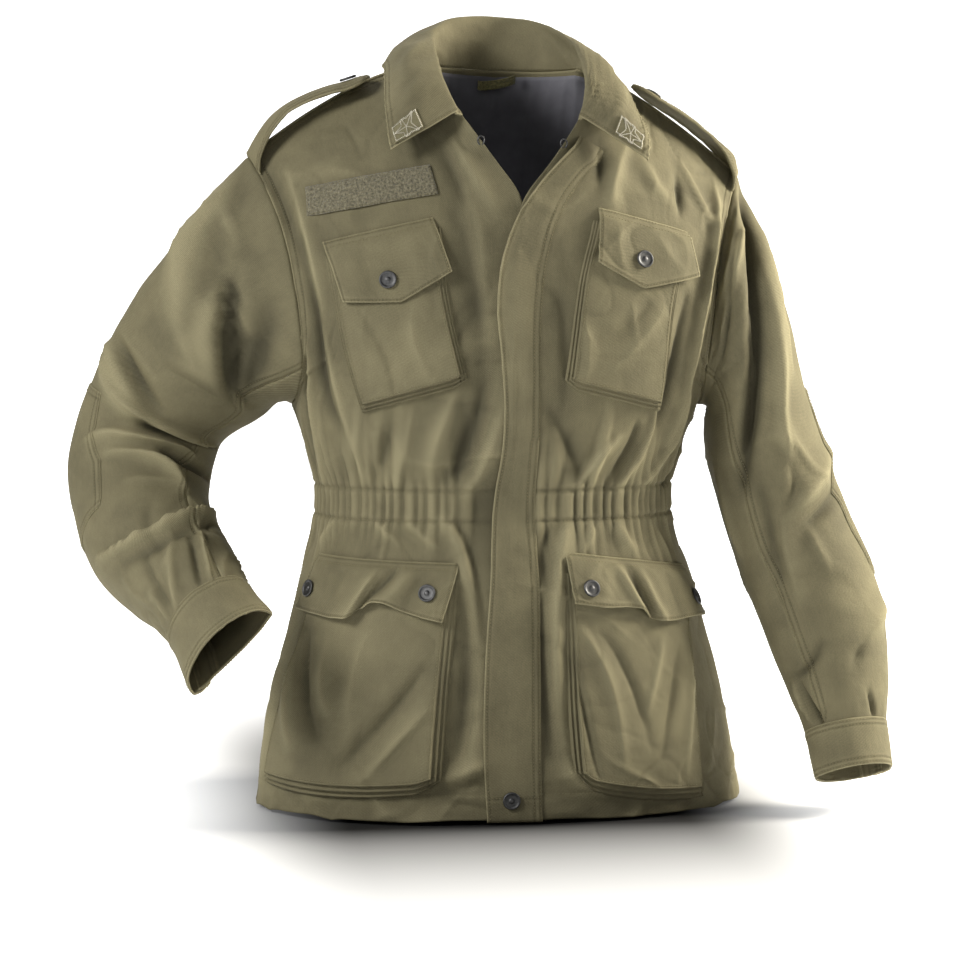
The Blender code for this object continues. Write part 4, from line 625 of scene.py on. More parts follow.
def cut_and_sew(name, points, outward, thickness, finish, nodes, relief=None, seams=(),
                plain=None):
    """Make one sheet of cloth from its grid of points and hand it over as the piece for its nodes."""
    relief = seam_wear_and_shade(points, relief, seams) if relief is not None else None
    points = press_seams(points, outward, seams, len(name)) if seams else points
    rows, columns = points.shape[:2]
    index = np.arange(rows * columns).reshape(rows, columns)
    corners = [index[:-1, :-1], index[:-1, 1:], index[1:, 1:], index[1:, :-1]]
    quads = np.stack(corners, axis=-1).reshape(-1, 4)
    if outward < 0:
        quads = quads[:, ::-1]
    mesh = bpy.data.meshes.new(name)
    mesh.from_pydata((points.reshape(-1, 3) / 1000.0).tolist(), [], quads.tolist())
    warp = run_lengths(points, 0)[:, columns // 2] / 1000.0
    weft = run_lengths(points, 1)[rows // 2] / 1000.0
    places = np.stack(np.meshgrid(weft, warp), axis=-1).reshape(-1, 2)
    mesh.uv_layers.new(name="cloth").data.foreach_set("uv", places[quads.ravel()].astype(np.float32).ravel())
    if relief is not None:
        ridge = mesh.attributes.new("ridge", "FLOAT", "POINT")
        ridge.data.foreach_set("value", relief.astype(np.float32).ravel())
    mesh.materials.append(finish)
    mesh.shade_smooth()
    made = add_piece(name, mesh, nodes)
    wall = made.modifiers.new("cloth thickness", "SOLIDIFY")
    wall.thickness = thickness / 1000.0
    wall.offset = -1.0
    wall.use_even_offset = False
    # The cut is the sheet's own form laid flat: its widest row by its longest column
    form = points if plain is None else plain
    across, down = run_lengths(form, 1)[:, -1], run_lengths(form, 0)[-1]
    cells = np.cross(form[1:, 1:] - form[:-1, :-1], form[1:, :-1] - form[:-1, 1:])
    area = 0.5 * np.linalg.norm(cells, axis=2).sum() / 1e6
    size = (across.max() / 1000.0, down.max() / 1000.0)
    area = min(area, size[0] * size[1])


def stitch_path(points, outward, edge, inset):
    """Line on a sheet at an inset from one of its edges, with the normals there."""
    normals = sheet_normals(points, outward)
    away = edge_distances(points)[edge]
    if edge in ("low", "high"):
        points, normals, away = (np.swapaxes(x, 0, 1) for x in (points, normals, away))
    if edge in ("high", "last"):
        points, normals, away = (x[:, ::-1] for x in (points, normals, away))
    both = np.concatenate([points, normals], axis=2)
    line = []
    for row, d in zip(both, away):
        at = np.interp(inset, d, np.arange(len(d)))
        k = min(int(at), len(d) - 2)
        line.append(row[k] + (row[k + 1] - row[k]) * (at - k))
    return np.array(line)


def edge_lines(points, outward, edges, insets):
    """Stitch lines along some of a sheet's edges, at each inset."""
    return [stitch_path(points, outward, edge, inset) for edge in edges for inset in insets]


def thread_finish():
    """Core-spun polyester-cotton thread: round, close-twisted, a little glossier than the cloth."""
    made, tree, skin, _, place = new_finish("olive sewing thread")
    twist = put(tree, "TexNoise", {"Vector": place, "Scale": 600.0, "Detail": 1.0})
    mixed = put(tree, "Mix", {"Factor": twist.outputs["Fac"], 6: tone("#5d5638"), 7: tone("#8d845e")},
                data_type="RGBA")
    feed(tree, skin, {"Base Color": mixed.outputs[2], "Roughness": 0.55})
    return made


olive_thread = thread_finish()


def sew(name, lines, finish=olive_thread, pitch=3.4, thick=0.55, trim=2.0):
    """Rows of lockstitch: one small spindle of thread for each stitch, lying on the cloth."""
    points = []
    faces = []
    for line in lines:
        arc = path_lengths(line[:, :3])
        if arc[-1] < 2 * trim + 2 * pitch:
            continue
        starts = np.arange(trim, arc[-1] - trim - pitch, pitch)
        ends = [np.stack([np.interp(starts + go, arc, line[:, k]) for k in range(6)], axis=1)
                for go in (0.12 * pitch, 0.5 * pitch, 0.88 * pitch)]
        for a, m, b in zip(*ends):
            along = b[:3] - a[:3]
            length = np.linalg.norm(along)
            if length < 0.4 * pitch:
                continue
            out = m[3:] / max(np.linalg.norm(m[3:]), 1e-9)
            side = np.cross(along / length, out) * thick * 0.55
            base = len(points)
            points += [a[:3] + out * 0.05, m[:3] + side + out * 0.15, m[:3] + out * (0.15 + thick),
                       m[:3] - side + out * 0.15, b[:3] + out * 0.05, m[:3] - out * 0.1]
            faces += [(base, base + 1, base + 2), (base, base + 2, base + 3), (base + 4, base + 2, base + 1),
                      (base + 4, base + 3, base + 2), (base, base + 5, base + 1), (base, base + 3, base + 5),
                      (base + 4, base + 1, base + 5), (base + 4, base + 5, base + 3)]
    mesh = bpy.data.meshes.new(name)
    mesh.from_pydata((np.array(points) / 1000.0).tolist(), [], faces)
    mesh.materials.append(finish)
    mesh.shade_smooth()
    return add_piece(name, mesh)


def body_levels():
    """Heights of the panel's rows: close at the hem, the casing and the shoulder."""
    # from, to, step
    stops = [(HEM, -664.0, 1.8), (-664.0, -455.0, 4.2), (-455.0, -345.0, 2.2), (-345.0, -12.0, 4.0),
             (-12.0, 0.01, 1.5)]
    return np.concatenate([np.arange(*stop) for stop in stops] + [[0.0]])


def body_grid(piece, side, u, levels):
    """A panel's plain form, its cloth, and the relief that its colour follows."""
    share, level = np.meshgrid(u, levels)
    plain, normal = body_plain(piece, side, share, level)
    height = body_height(piece, side, share, level)
    # The hem's edge rises and falls a little
    wavy = np.abs(dapple(PANEL * share + 300.0 * side, 0 * level, 34.0, 23))
    plain[..., 2] += 4.0 * wavy * np.clip((-660.0 - level) / 40, 0, 1)
    # What the cloth's colour follows, in mm of relief: ridges painted pale as wear and highlight, stronger at the
    # waist, and painted shade in the gathers' hollows there
    waist = np.exp(-(((level - CASING) / 26.0) ** 2))
    return plain, plain + normal * height[..., None], height * (1.3 + 0.9 * waist) - 6.0 * waist


def cloth_line(piece, side, share, level):
    """Points and normals along one level of a panel's cloth."""
    level = np.full(len(share), level)
    points, normals = body_plain(piece, side, share, level)
    height = body_height(piece, side, share, level)
    return np.hstack([points + normals * height[:, None], normals])


def waist_and_hem_lines(piece, side):
    """Two rows of stitching that hold the waist elastic, and the one along the hem."""
    share = np.linspace(0.01, 0.97 * GATHERS[piece][1] if piece == "front" else 1.0, 220)
    casing = [cloth_line(piece, side, share, level) for level in (CASING_LOW, CASING_HIGH)]
    return casing, cloth_line(piece, side, np.linspace(0.01, 0.99, 160), HEM_STITCH)


FELLED = (2.0, 8.0)             # the two rows of a felled seam, from its edge
PANEL_WIDE = 245.0
BODY_SEAMS = [("first", 1.3, FELLED), ("high", 1.0, FELLED)]
for side, word in ((-1, "right"), (1, "left")):
    plain, cloth, height = body_grid("front", side, spaced(PANEL_WIDE, 2.2), body_levels())
    casing, hem = waist_and_hem_lines("front", side)
    lines = edge_lines(cloth, -side, ("first", "high"), FELLED)
    sewing = sew(f"front_{word}_stitching", lines + casing + [hem])
    cut_and_sew(f"front_{word}_drill", cloth, -side, DRILL, washed_drill, [f"front_{word}"],
                relief=height, seams=BODY_SEAMS, plain=plain)

right = body_grid("back", -1, spaced(PANEL_WIDE, 3.5)[:-1], body_levels())
left = body_grid("back", 1, spaced(PANEL_WIDE, 3.5)[::-1], body_levels())
plain, cloth, height = (np.concatenate([a, b], axis=1) for a, b in zip(right, left))
casings, hems = zip(*(waist_and_hem_lines("back", side) for side in (-1, 1)))
sewing = sew("back_stitching", casings[0] + casings[1] + list(hems))
cut_and_sew("back_drill", cloth, -1, DRILL, washed_drill, ["back"], relief=height,
            plain=plain, seams=[("first", 1.3, ()), ("last", 1.3, ()), ("high", 1.0, ())])


# ================================================================ sleeves
# Two-piece set-in sleeves of the same drill: a wide upper and a narrow under piece, felled together.
# The right one is bent at the elbow and crumples there; the left one hangs nearly straight.

SLEEVE_RINGS = {
    -1: [
        # x       y      z      wide   deep  slant
        (-275.0, 24.0, -230.0, 91.0, 80.0, -50.0),
        (-300.0, 44.0, -265.0, 86.0, 76.0, -35.0),
        (-336.0, 58.0, -312.0, 73.0, 68.0, -22.0),
        (-353.0, 52.0, -363.0, 72.0, 64.0, -2.0),
        (-354.0, 20.0, -408.0, 66.0, 61.0, 8.0),
        (-344.0, -27.0, -440.0, 65.0, 56.0, 21.0),
        (-322.0, -76.0, -466.0, 57.0, 49.0, 30.0),
        (-298.0, -128.0, -495.0, 47.0, 38.0, 41.0),
        (-279.0, -177.0, -527.0, 53.0, 36.0, 45.0),
    ],
    1: [
        (238.0, -12.0, -226.0, 88.0, 80.0, -110.0),
        (248.0, -18.0, -272.0, 66.0, 76.0, -130.0),
        (257.0, -22.0, -326.0, 61.0, 70.0, -143.0),
        (274.0, -25.0, -380.0, 59.0, 64.0, -157.0),
        (291.0, -33.0, -437.0, 61.0, 61.0, -162.0),
        (311.0, -49.0, -489.0, 63.0, 58.0, -169.0),
        (322.0, -68.0, -541.0, 58.0, 53.0, -174.0),
        (328.0, -86.0, -584.0, 50.0, 46.0, -177.0),
        (332.0, -101.0, -621.0, 41.0, 37.0, -174.0),
        (336.0, -120.0, -665.0, 38.0, 35.0, -173.0),
    ],
}
CUFF_FLAT = {-1: (0.72, 0.12), 1: (1.0, 0.85)}      # how deep the back of the last two rings is to the front
SLEEVE_ROUND, RING_STEP = 400.0, 55.0               # usual way round, and from ring to ring
SLEEVE_HALF = 64.0
SLEEVE_GAIN = 1.1
# Around the sleeve 0 is the armpit, 0.25 the front, 0.5 the outside and 0.75 the back; row is the ring
SLEEVE_FOLDS = [
    # side, start (around, row), middle, end, width, depth, lean
    (-1, 0.46, 0.3, 0.33, 0.5, 0.17, 1.1, 9, 9, 0.4),
    (-1, 0.40, 0.3, 0.29, 0.5, 0.12, 1.2, 8, -8, 0),
    (-1, 0.50, 0.2, 0.45, 0.5, 0.39, 0.8, 7, 4, 0),
    (-1, 0.48, 0.6, 0.37, 0.8, 0.24, 1.2, 10, 4, 0),
    (-1, 0.42, 0.3, 0.36, 0.5, 0.30, 0.9, 8, -4, 0),
    (-1, 0.27, 0.2, 0.20, 0.4, 0.13, 0.9, 11, -7, 0),
    (-1, 0.44, 2.6, 0.28, 3.0, 0.07, 3.4, 9, 10, 0.5),
    (-1, 0.28, 3.2, 0.21, 3.5, 0.03, 3.5, 7, -10, 0),
    (-1, 0.38, 3.7, 0.27, 3.7, 0.13, 4.2, 8, 7, 0.4),
    (-1, 0.20, 4.3, 0.13, 4.6, 0.02, 4.5, 6, -9, 0),
    (-1, 0.32, 4.2, 0.20, 4.7, 0.13, 5.6, 9, 7, 0),
    (-1, 0.42, 6.2, 0.22, 6.6, 0.03, 5.9, 5, 7, 0.6),
    (-1, 0.38, 6.7, 0.21, 6.95, 0.06, 6.5, 8, -4, 0),
    (-1, 0.30, 6.9, 0.32, 7.4, 0.33, 7.9, 6, -3, 0),
    (-1, 0.21, 6.9, 0.28, 7.7, 0.33, 8.2, 5, 4, 0),
    (-1, 0.13, 6.8, 0.15, 7.5, 0.17, 8.1, 4, 5, -0.5),
    (-1, 0.16, 7.0, 0.18, 7.5, 0.21, 8.1, 4, -4, 0),
    (-1, 0.35, 7.5, 0.36, 7.8, 0.36, 8.2, 5, 3, 0),
    (-1, 0.45, 2.1, 0.37, 2.1, 0.31, 2.2, 4, 1.5, 0),
    (-1, 0.22, 6.0, 0.25, 6.5, 0.26, 7.0, 7, -2, 0),
    (-1, 0.28, 5.2, 0.22, 5.3, 0.14, 5.5, 6, 2, 0),
    (-1, 0.447, 0.40, 0.356, 0.43, 0.250, 0.57, 6, -9, 0.4),
    (-1, 0.253, 0.60, 0.197, 0.73, 0.147, 1.40, 6, -8, 0.4),
    (-1, 0.436, 0.37, 0.344, 0.37, 0.242, 0.50, 7, 7, 0),
    (-1, 0.489, 0.07, 0.472, 0.30, 0.447, 0.53, 8, 6, 0.3),
    (-1, 0.464, 0.07, 0.436, 0.20, 0.411, 0.30, 6, -4, 0),
    (-1, 0.500, 0.57, 0.467, 0.70, 0.428, 0.80, 7, 4, 0),
    (-1, 0.472, 2.40, 0.383, 2.50, 0.289, 2.93, 7, 8, 0.4),
    (-1, 0.422, 2.23, 0.353, 2.40, 0.269, 2.73, 7, -6, 0),
    (-1, 0.70, 2.0, 0.66, 3.5, 0.62, 5.0, 16, -5, 0),
    (-1, 0.86, 3.0, 0.80, 4.2, 0.72, 5.4, 15, 6, 0),
    (-1, 0.95, 3.4, 0.88, 3.9, 0.80, 3.8, 8, 6, 0.3),
    (-1, 0.97, 4.0, 0.90, 4.5, 0.82, 4.5, 7, -5, 0),
    (-1, 0.62, 0.6, 0.68, 1.2, 0.72, 2.0, 13, 4, 0),
    (1, 0.49, 0.25, 0.33, 1.3, 0.13, 3.8, 10, -11, 0),
    (1, 0.47, 0.3, 0.38, 0.5, 0.22, 0.6, 7, 5, 0),
    (1, 0.42, 0.5, 0.34, 1.0, 0.25, 1.8, 7, 6, 0),
    (1, 0.40, 0.3, 0.30, 0.5, 0.18, 1.0, 6, -4, 0),
    (1, 0.38, 1.2, 0.31, 2.6, 0.26, 4.2, 12, 6, 0),
    (1, 0.26, 3.4, 0.27, 4.1, 0.23, 4.6, 9, -4, 0),
    (1, 0.47, 3.9, 0.31, 4.4, 0.22, 4.7, 9, 5, 0),
    (1, 0.47, 4.4, 0.33, 4.8, 0.26, 5.0, 8, -4, 0),
    (1, 0.27, 5.0, 0.27, 5.4, 0.27, 5.9, 5, 2, 0),
    (1, 0.31, 3.4, 0.33, 3.9, 0.38, 4.4, 4, 2, 0),
    (1, 0.20, 7.2, 0.13, 7.7, 0.05, 7.8, 5, -4, 0),
    (1, 0.47, 6.5, 0.36, 7.0, 0.31, 7.4, 10, 5, 0),
    (1, 0.38, 6.9, 0.33, 7.2, 0.28, 7.7, 8, -4, 0),
    (1, 0.09, 8.0, 0.11, 8.6, 0.13, 9.0, 5, -6, -0.5),
    (1, 0.06, 7.9, 0.06, 8.4, 0.08, 9.0, 4, 4, 0),
    (1, 0.32, 8.4, 0.34, 8.8, 0.34, 9.1, 4, -4, 0),
    (1, 0.22, 4.8, 0.19, 5.5, 0.18, 6.3, 10, 3, 0),
    (1, 0.18, 3.9, 0.17, 5.0, 0.13, 6.2, 9, -4, 0),
    (1, 0.05, 3.2, 0.05, 4.4, 0.06, 5.2, 8, 4, 0),
    (1, 0.492, 0.10, 0.364, 0.87, 0.269, 1.57, 7, -9, 0),
    (1, 0.269, 1.57, 0.214, 2.30, 0.164, 3.13, 7, -8, 0),
    (1, 0.483, 0.00, 0.350, 0.30, 0.264, 0.17, 9, 7, 0.3),
    (1, 0.469, 0.90, 0.386, 1.60, 0.364, 2.53, 10, 5, 0),
    (1, 0.70, 2.5, 0.66, 4.2, 0.62, 6.0, 16, -6, 0),
    (1, 0.84, 3.5, 0.80, 5.2, 0.76, 7.0, 15, 6, 0),
    (1, 0.66, 0.6, 0.72, 1.6, 0.74, 2.6, 13, 5, 0),
]


def armhole_loop(side, around):
    """Armhole seam: 0 at the armpit, 0.5 at the shoulder tip, by way of the front."""
    around = np.asarray(around, dtype=float) % 1.0
    front = table_curve(ARMHOLE_FRONT, np.clip(2 * around, 0, 1))
    back = table_curve(ARMHOLE_BACK, np.clip(2 - 2 * around, 0, 1))
    loop = np.where((around <= 0.5)[..., None], front, back)
    loop[..., 0] *= side
    return tilt(loop)


def sleeve_plain(side, around, row):
    """The sleeve's smooth form at places around it and along its rings."""
    shape = np.shape(around)
    around, row = np.ravel(around), np.ravel(row)
    rings = np.array(SLEEVE_RINGS[side])
    axes = np.gradient(rings[:, :3], axis=0)
    axes /= np.linalg.norm(axes, axis=1, keepdims=True)
    angle = 2 * np.pi * around[:, None]
    stations = [armhole_loop(side, around)]
    flat = np.ones(len(rings))
    flat[-2:] = CUFF_FLAT[side]
    for (x, y, z, wide, deep, slant), axis, share in zip(rings, axes, flat):
        slant = math.radians(slant)
        across = np.array([math.cos(slant), 0.0, math.sin(slant)])
        forward = np.cross(axis, across)
        forward *= -math.copysign(1.0, forward[1]) / np.linalg.norm(forward)
        rise = deep * np.where(np.sin(angle) < 0, share, 1.0) * np.sin(angle)
        stations.append(np.array([x, y, z]) + across * wide * np.cos(angle) + forward * rise)
    stations = np.stack(stations)
    slopes = np.gradient(stations, axis=0)
    cell, values, tangents = cell_weights(np.arange(len(stations), dtype=float), row)
    column = np.arange(len(row))
    total = np.zeros((len(row), 3))
    for k in (0, 1):
        total += values[k][:, None] * stations[cell + k, column]
        total += tangents[k][:, None] * slopes[cell + k, column]
    return total.reshape(shape + (3,))


def sleeve_height(side, around, row):
    """Folds and crumpling of a sleeve, quiet at the armhole and under the cuff."""
    last = len(SLEEVE_RINGS[side])
    turn = around % 1.0
    height = folds_height(SLEEVE_FOLDS, side, turn, row, (SLEEVE_ROUND, RING_STEP))
    height += folds_height(SLEEVE_FOLDS, side, turn - 1.0, row, (SLEEVE_ROUND, RING_STEP))
    height *= SLEEVE_GAIN
    angle = 2 * np.pi * turn
    across = SLEEVE_HALF * np.sin(angle) + SLEEVE_HALF
    height += rumple(across, RING_STEP * row + 30.0 * np.cos(angle), 31 + side)
    # Ease of the sleeve head, and the small pleats that bring the sleeve into its cuff
    at_head = np.exp(-row / 0.35) * np.exp(-((turn - 0.5) / 0.3) ** 2)
    height += 1.1 * at_head * np.sin(2 * np.pi * 23.0 * turn + side)
    into_cuff = np.exp(-(((row - last + 0.9) / 0.45) ** 2))
    height += 1.6 * into_cuff * dapple(SLEEVE_ROUND * turn, 20.0 * row, 11.0, 33 + side)
    return height * np.clip((row + 0.02) / 0.5, 0.0, 1.0) * np.clip((last - 0.85 - row) / 0.3, 0.0, 1.0)


def sleeve_grid(side, around, rows, lift=0.0):
    """A stretch of sleeve: its plain form, its cloth and its relief."""
    turn, row = around + 0.0 * rows[:, None], rows[:, None] + 0.0 * around
    plain = sleeve_plain(side, turn, row)
    height = sleeve_height(side, turn, row)
    return plain, plain + sheet_normals(plain, -side) * (height + lift)[..., None], height


SPANS = (("upper", 2 / 16, 11 / 16), ("under", 11 / 16, 18 / 16))     # the upper's seams are the felled ones
for side, word in ((-1, "right"), (1, "left")):
    last = len(SLEEVE_RINGS[side])
    rows = np.concatenate([np.linspace(0.0, 0.2, 9), np.linspace(0.2, last, 44 * last // 3)[1:]])
    for part, start, end in SPANS:
        around = start + (end - start) * spaced(SLEEVE_ROUND * (end - start), 3.4)
        plain, cloth, height = sleeve_grid(side, around, rows)
        insets = FELLED if part == "upper" else ()
        lines = edge_lines(cloth, -side, ("first", "last"), insets)
        sewing = [sew(f"sleeve_{word}_{part}_stitching", lines)] if lines else []
        cut_and_sew(f"sleeve_{word}_{part}_drill", cloth, -side, DRILL, washed_drill,
                    [f"sleeve_{word}_{part}"], relief=height, plain=plain,
                    seams=[("first", 1.2, insets), ("last", 1.2, insets), ("low", 1.4, ())])


# ================================================================ elbow patches
# A second layer of drill over each elbow, its edges turned under and stitched down twice.

PATCH_CLOTH = 0.9
PATCH_LIFT = 1.6
PATCH_ROWS = (1.8, 7.5)
# row, shift of the front edge around the sleeve
PATCH_WAVE = ((3.0, 0.03), (3.7, 0.005), (4.4, -0.03), (5.3, -0.03), (6.0, 0.0))
# around the sleeve from and to, rows from and to
PATCH_SPAN = {-1: ((6 / 16, 12 / 16), (3.0, 5.5)), 1: ((7 / 16, 12 / 16), (3.0, 6.0))}
ALL_ROUND = ("first", "last", "low", "high")
for side, word in ((-1, "right"), (1, "left")):
    around, rows = PATCH_SPAN[side]
    rows = np.linspace(*rows, 70)
    front = around[0] + np.interp(rows, *zip(*PATCH_WAVE))[:, None]
    around = front + (around[1] - front) * spaced(140.0, 3.2)
    plain, cloth, height = sleeve_grid(side, around, rows, PATCH_LIFT)
    sewing = sew(f"elbow_patch_{word}_stitching", edge_lines(cloth, -side, ALL_ROUND, PATCH_ROWS))
    cut_and_sew(f"elbow_patch_{word}_drill", cloth, -side, PATCH_CLOTH, washed_drill,
                [f"elbow_patch_{word}"], relief=height, plain=plain,
                seams=[(edge, 0.7, PATCH_ROWS) for edge in ALL_ROUND])


# ================================================================ cuffs
# Bands of doubled drill with an overlapping end, edge-stitched all round and closed by a snap.

CUFF_FROM, CUFF_TO = 0.58, 1.64       # around the sleeve: its end laps over its start
CUFF_CLOTH = 2.0
CUFF_ROUND, CUFF_HIGH = 330.0, 55.0
CUFF_ROWS = (2.2, 7.0)
cuff_grids = {}
for side, word in ((-1, "right"), (1, "left")):
    last = len(SLEEVE_RINGS[side])
    around = CUFF_FROM + (CUFF_TO - CUFF_FROM) * spaced(CUFF_ROUND, 3.2)
    rows = last - 0.99 + 0.99 * spaced(CUFF_HIGH, 2.4)
    turn, row = np.meshgrid(around, rows)
    over = np.clip((turn - CUFF_FROM - 0.92) / 0.08, 0.0, 1.0)
    plain = sleeve_plain(side, turn, row)
    along = CUFF_ROUND * turn
    ripple = 0.5 * dapple(along, 50.0 * row, 17.0, 41 + side) + 0.7 * dapple(along, 50.0 * row, 38.0, 43)
    lift = 1.2 + over * (CUFF_CLOTH + 0.6) + ripple
    cloth = plain + sheet_normals(plain, -side) * lift[..., None]
    sewing = sew(f"cuff_{word}_stitching", edge_lines(cloth, -side, ALL_ROUND, CUFF_ROWS))
    cut_and_sew(f"cuff_{word}_drill", cloth, -side, CUFF_CLOTH, washed_drill, [f"cuff_{word}"],
                relief=ripple + 1.0, plain=plain,
                seams=[(edge, 0.8, CUFF_ROWS) for edge in ALL_ROUND])
    cuff_grids[side] = cloth


# ================================================================ fly placket
# A doubled strip of drill down the left front that covers the opening, its free edge lapping over the
# right front; it is stitched down along one side and rolls open towards the neck.

PLACKET = [
    # level  right_reach  left_reach
    (-700.0, 27.0, 27.0),
    (-640.0, 27.0, 29.0),
    (-580.0, 26.0, 30.0),
    (-520.0, 24.0, 29.0),
    (-446.0, 18.0, 28.0),
    (-390.0, 14.0, 26.0),
    (-332.0, 9.0, 26.0),
    (-266.9, 13.0, 26.0),
    (-228.8, 17.0, 28.0),
    (-190.6, 13.0, 32.0),
    (-152.5, -3.0, 40.0),
    (-114.4, -34.0, 66.0),
    (-90.0, -58.0, 92.0),
    (-76.0, -70.0, 102.0),
]


def front_run(side, level, count=140):
    """One level of a front: distance of its points from the opening line, points and normals."""
    share = np.linspace(0.3, 1.0, count)
    points, normals = body_plain("front", side, share, np.full(count, level))
    arc = path_lengths(points[::-1])[::-1]
    height = body_height("front", side, share, np.full(count, level))
    return arc, points, normals, height


PLACKET_WIDE, PLACKET_CLOTH = 55.0, 1.4
levels = np.concatenate([np.linspace(-699.5, -660.0, 16)[:-1], np.linspace(-660.0, -78.0, 165)])
strip = []
strip_relief = []
across = spaced(PLACKET_WIDE, 2.2)
for level in levels:
    reach_right, reach_left = table_curve(PLACKET, level)
    runs = [front_run(side, level) for side in (-1, 1)]
    spread = (runs[1][1][-1, 0] - runs[0][1][-1, 0]) / 2
    places = np.concatenate([-(runs[0][0] + spread), (runs[1][0] + spread + 1e-6)[::-1]])
    line = np.hstack([np.concatenate([runs[0][k], runs[1][k][::-1]]) for k in (1, 2)])
    height = np.concatenate([runs[0][3], runs[1][3][::-1]])
    at = -reach_right + (reach_right + reach_left) * across
    read = np.stack([np.interp(at, places, line[:, k]) for k in range(6)], axis=1)
    under = np.interp(at, places, height)
    rise = np.interp(level, [-190.0, -150.0], [0.8, 1.7]) + PLACKET_CLOTH
    # Its free edge stands off, its middle rounds out, and it rolls open from -330 up to -200
    stand_off = np.interp(level, [-640.0, -420.0, -330.0, -200.0, -150.0], [1.0, 1.4, 2.6, 6.0, 2.6])
    free = np.exp(-across / 0.20) * stand_off
    rounded = np.interp(level, [-420.0, -380.0, -260.0, -160.0], [0.2, 0.6, 1.6, 0.2])
    belly = 1.6 * np.sin(np.pi * across) ** 2 * rounded
    swell = 0.9 * dapple(at + 60.0, np.full(len(at), level), 47.0, 51)
    rolled, follow = (np.interp(level, [-330.0, -200.0], ends) for ends in ([0.0, 1.0], [0.5, 0.95]))
    flush = np.clip((1.0 - across) / 0.35, 0.0, 1.0) ** rolled
    tuck = np.clip((level + 98.0) / 16.0, 0.0, 1.0)         # its end goes into the collar seam
    lift = 0.2 - 1.6 * tuck + (1.0 - tuck) * (rise + free + belly + swell) * flush + follow * under
    strip.append(read[:, :3] + read[:, 3:] * lift[:, None])
    strip_relief.append(free + belly + swell)
strip = np.array(strip)
lines = edge_lines(strip, 1, ["last"], FELLED) + edge_lines(strip, 1, ["first"], (3.0,))
sewing = sew("fly_placket_stitching", lines + edge_lines(strip, 1, ["low"], (24.0,)))
cut_and_sew("fly_placket_drill", strip, 1, PLACKET_CLOTH, washed_drill, ["fly_placket"],
            relief=np.array(strip_relief),
            seams=[("last", 0.7, FELLED), ("first", 0.5, (3.0,)), ("low", 0.6, (24.0,))])


# ================================================================ pockets and flaps
# Bellows pockets of drill: a front sheet with pinched, stitched edges on pleated gussets, sewn to the
# fronts. Each closes under a doubled flap: one snap on a chest flap, two on a lower one.

CHEST_POCKET = {
    # side  top inner       top outer         low inner         low outer
    -1: ((80.0, -128.0), (203.0, -156.0), (45.0, -277.0), (148.0, -306.0)),
    1: ((72.0, -121.0), (180.0, -143.0), (49.0, -282.0), (153.0, -307.0)),
}
CHEST_FLAP = {
    -1: ((89.0, -118.0), (206.0, -142.0), (64.0, -170.0), (172.0, -199.0)),
    1: ((77.0, -109.0), (184.0, -133.0), (79.0, -162.0), (193.0, -177.0)),
}
FLAP_POINT = {-1: 16.0, 1: 19.0}
FLAP_POINT_PLACE = 0.44
LOWER_POCKET = {
    -1: ((50.0, -465.0), (222.0, -468.0), (68.0, -670.0), (270.0, -674.0)),
    1: ((50.0, -460.0), (214.0, -488.0), (60.0, -668.0), (200.0, -688.0)),
}
LOWER_FLAP = {
    -1: ((48.0, -450.0), (205.0, -447.0), (66.0, -506.0), (233.0, -503.0)),
    1: ((54.0, -441.0), (214.0, -463.0), (59.0, -490.0), (238.0, -516.0)),
}
BAG_CUT = {("chest", -1): 5.0, ("chest", 1): 8.0, ("lower", -1): 12.0, ("lower", 1): 18.0}
BAG_SAG = {"chest": 0.0, "lower": 6.0}
BAG_MOUTH = 3.0
BAG_FOOT = {"chest": 9.0, "lower": 13.0}
BAG_RIM = 0.065                 # share of the sheet that its gusset takes on each side
BAG_CLOTH, FLAP_CLOTH = 0.8, 1.7
BAG_FOLD_GAIN, BAG_FOLD_SLIM = 1.6, 0.62
# Section of the gusset outwards from the pinched edge: two pleats, each with its own ridge
GUSSET_OUT = np.array([0.0, 0.10, 0.16, 0.30, 0.42, 0.50, 0.56, 0.70, 0.80, 0.86, 0.93, 1.0])
GUSSET_RISE = np.array([1.0, 0.90, 0.52, 0.62, 0.70, 0.60, 0.24, 0.34, 0.42, 0.32, 0.06, 0.05])
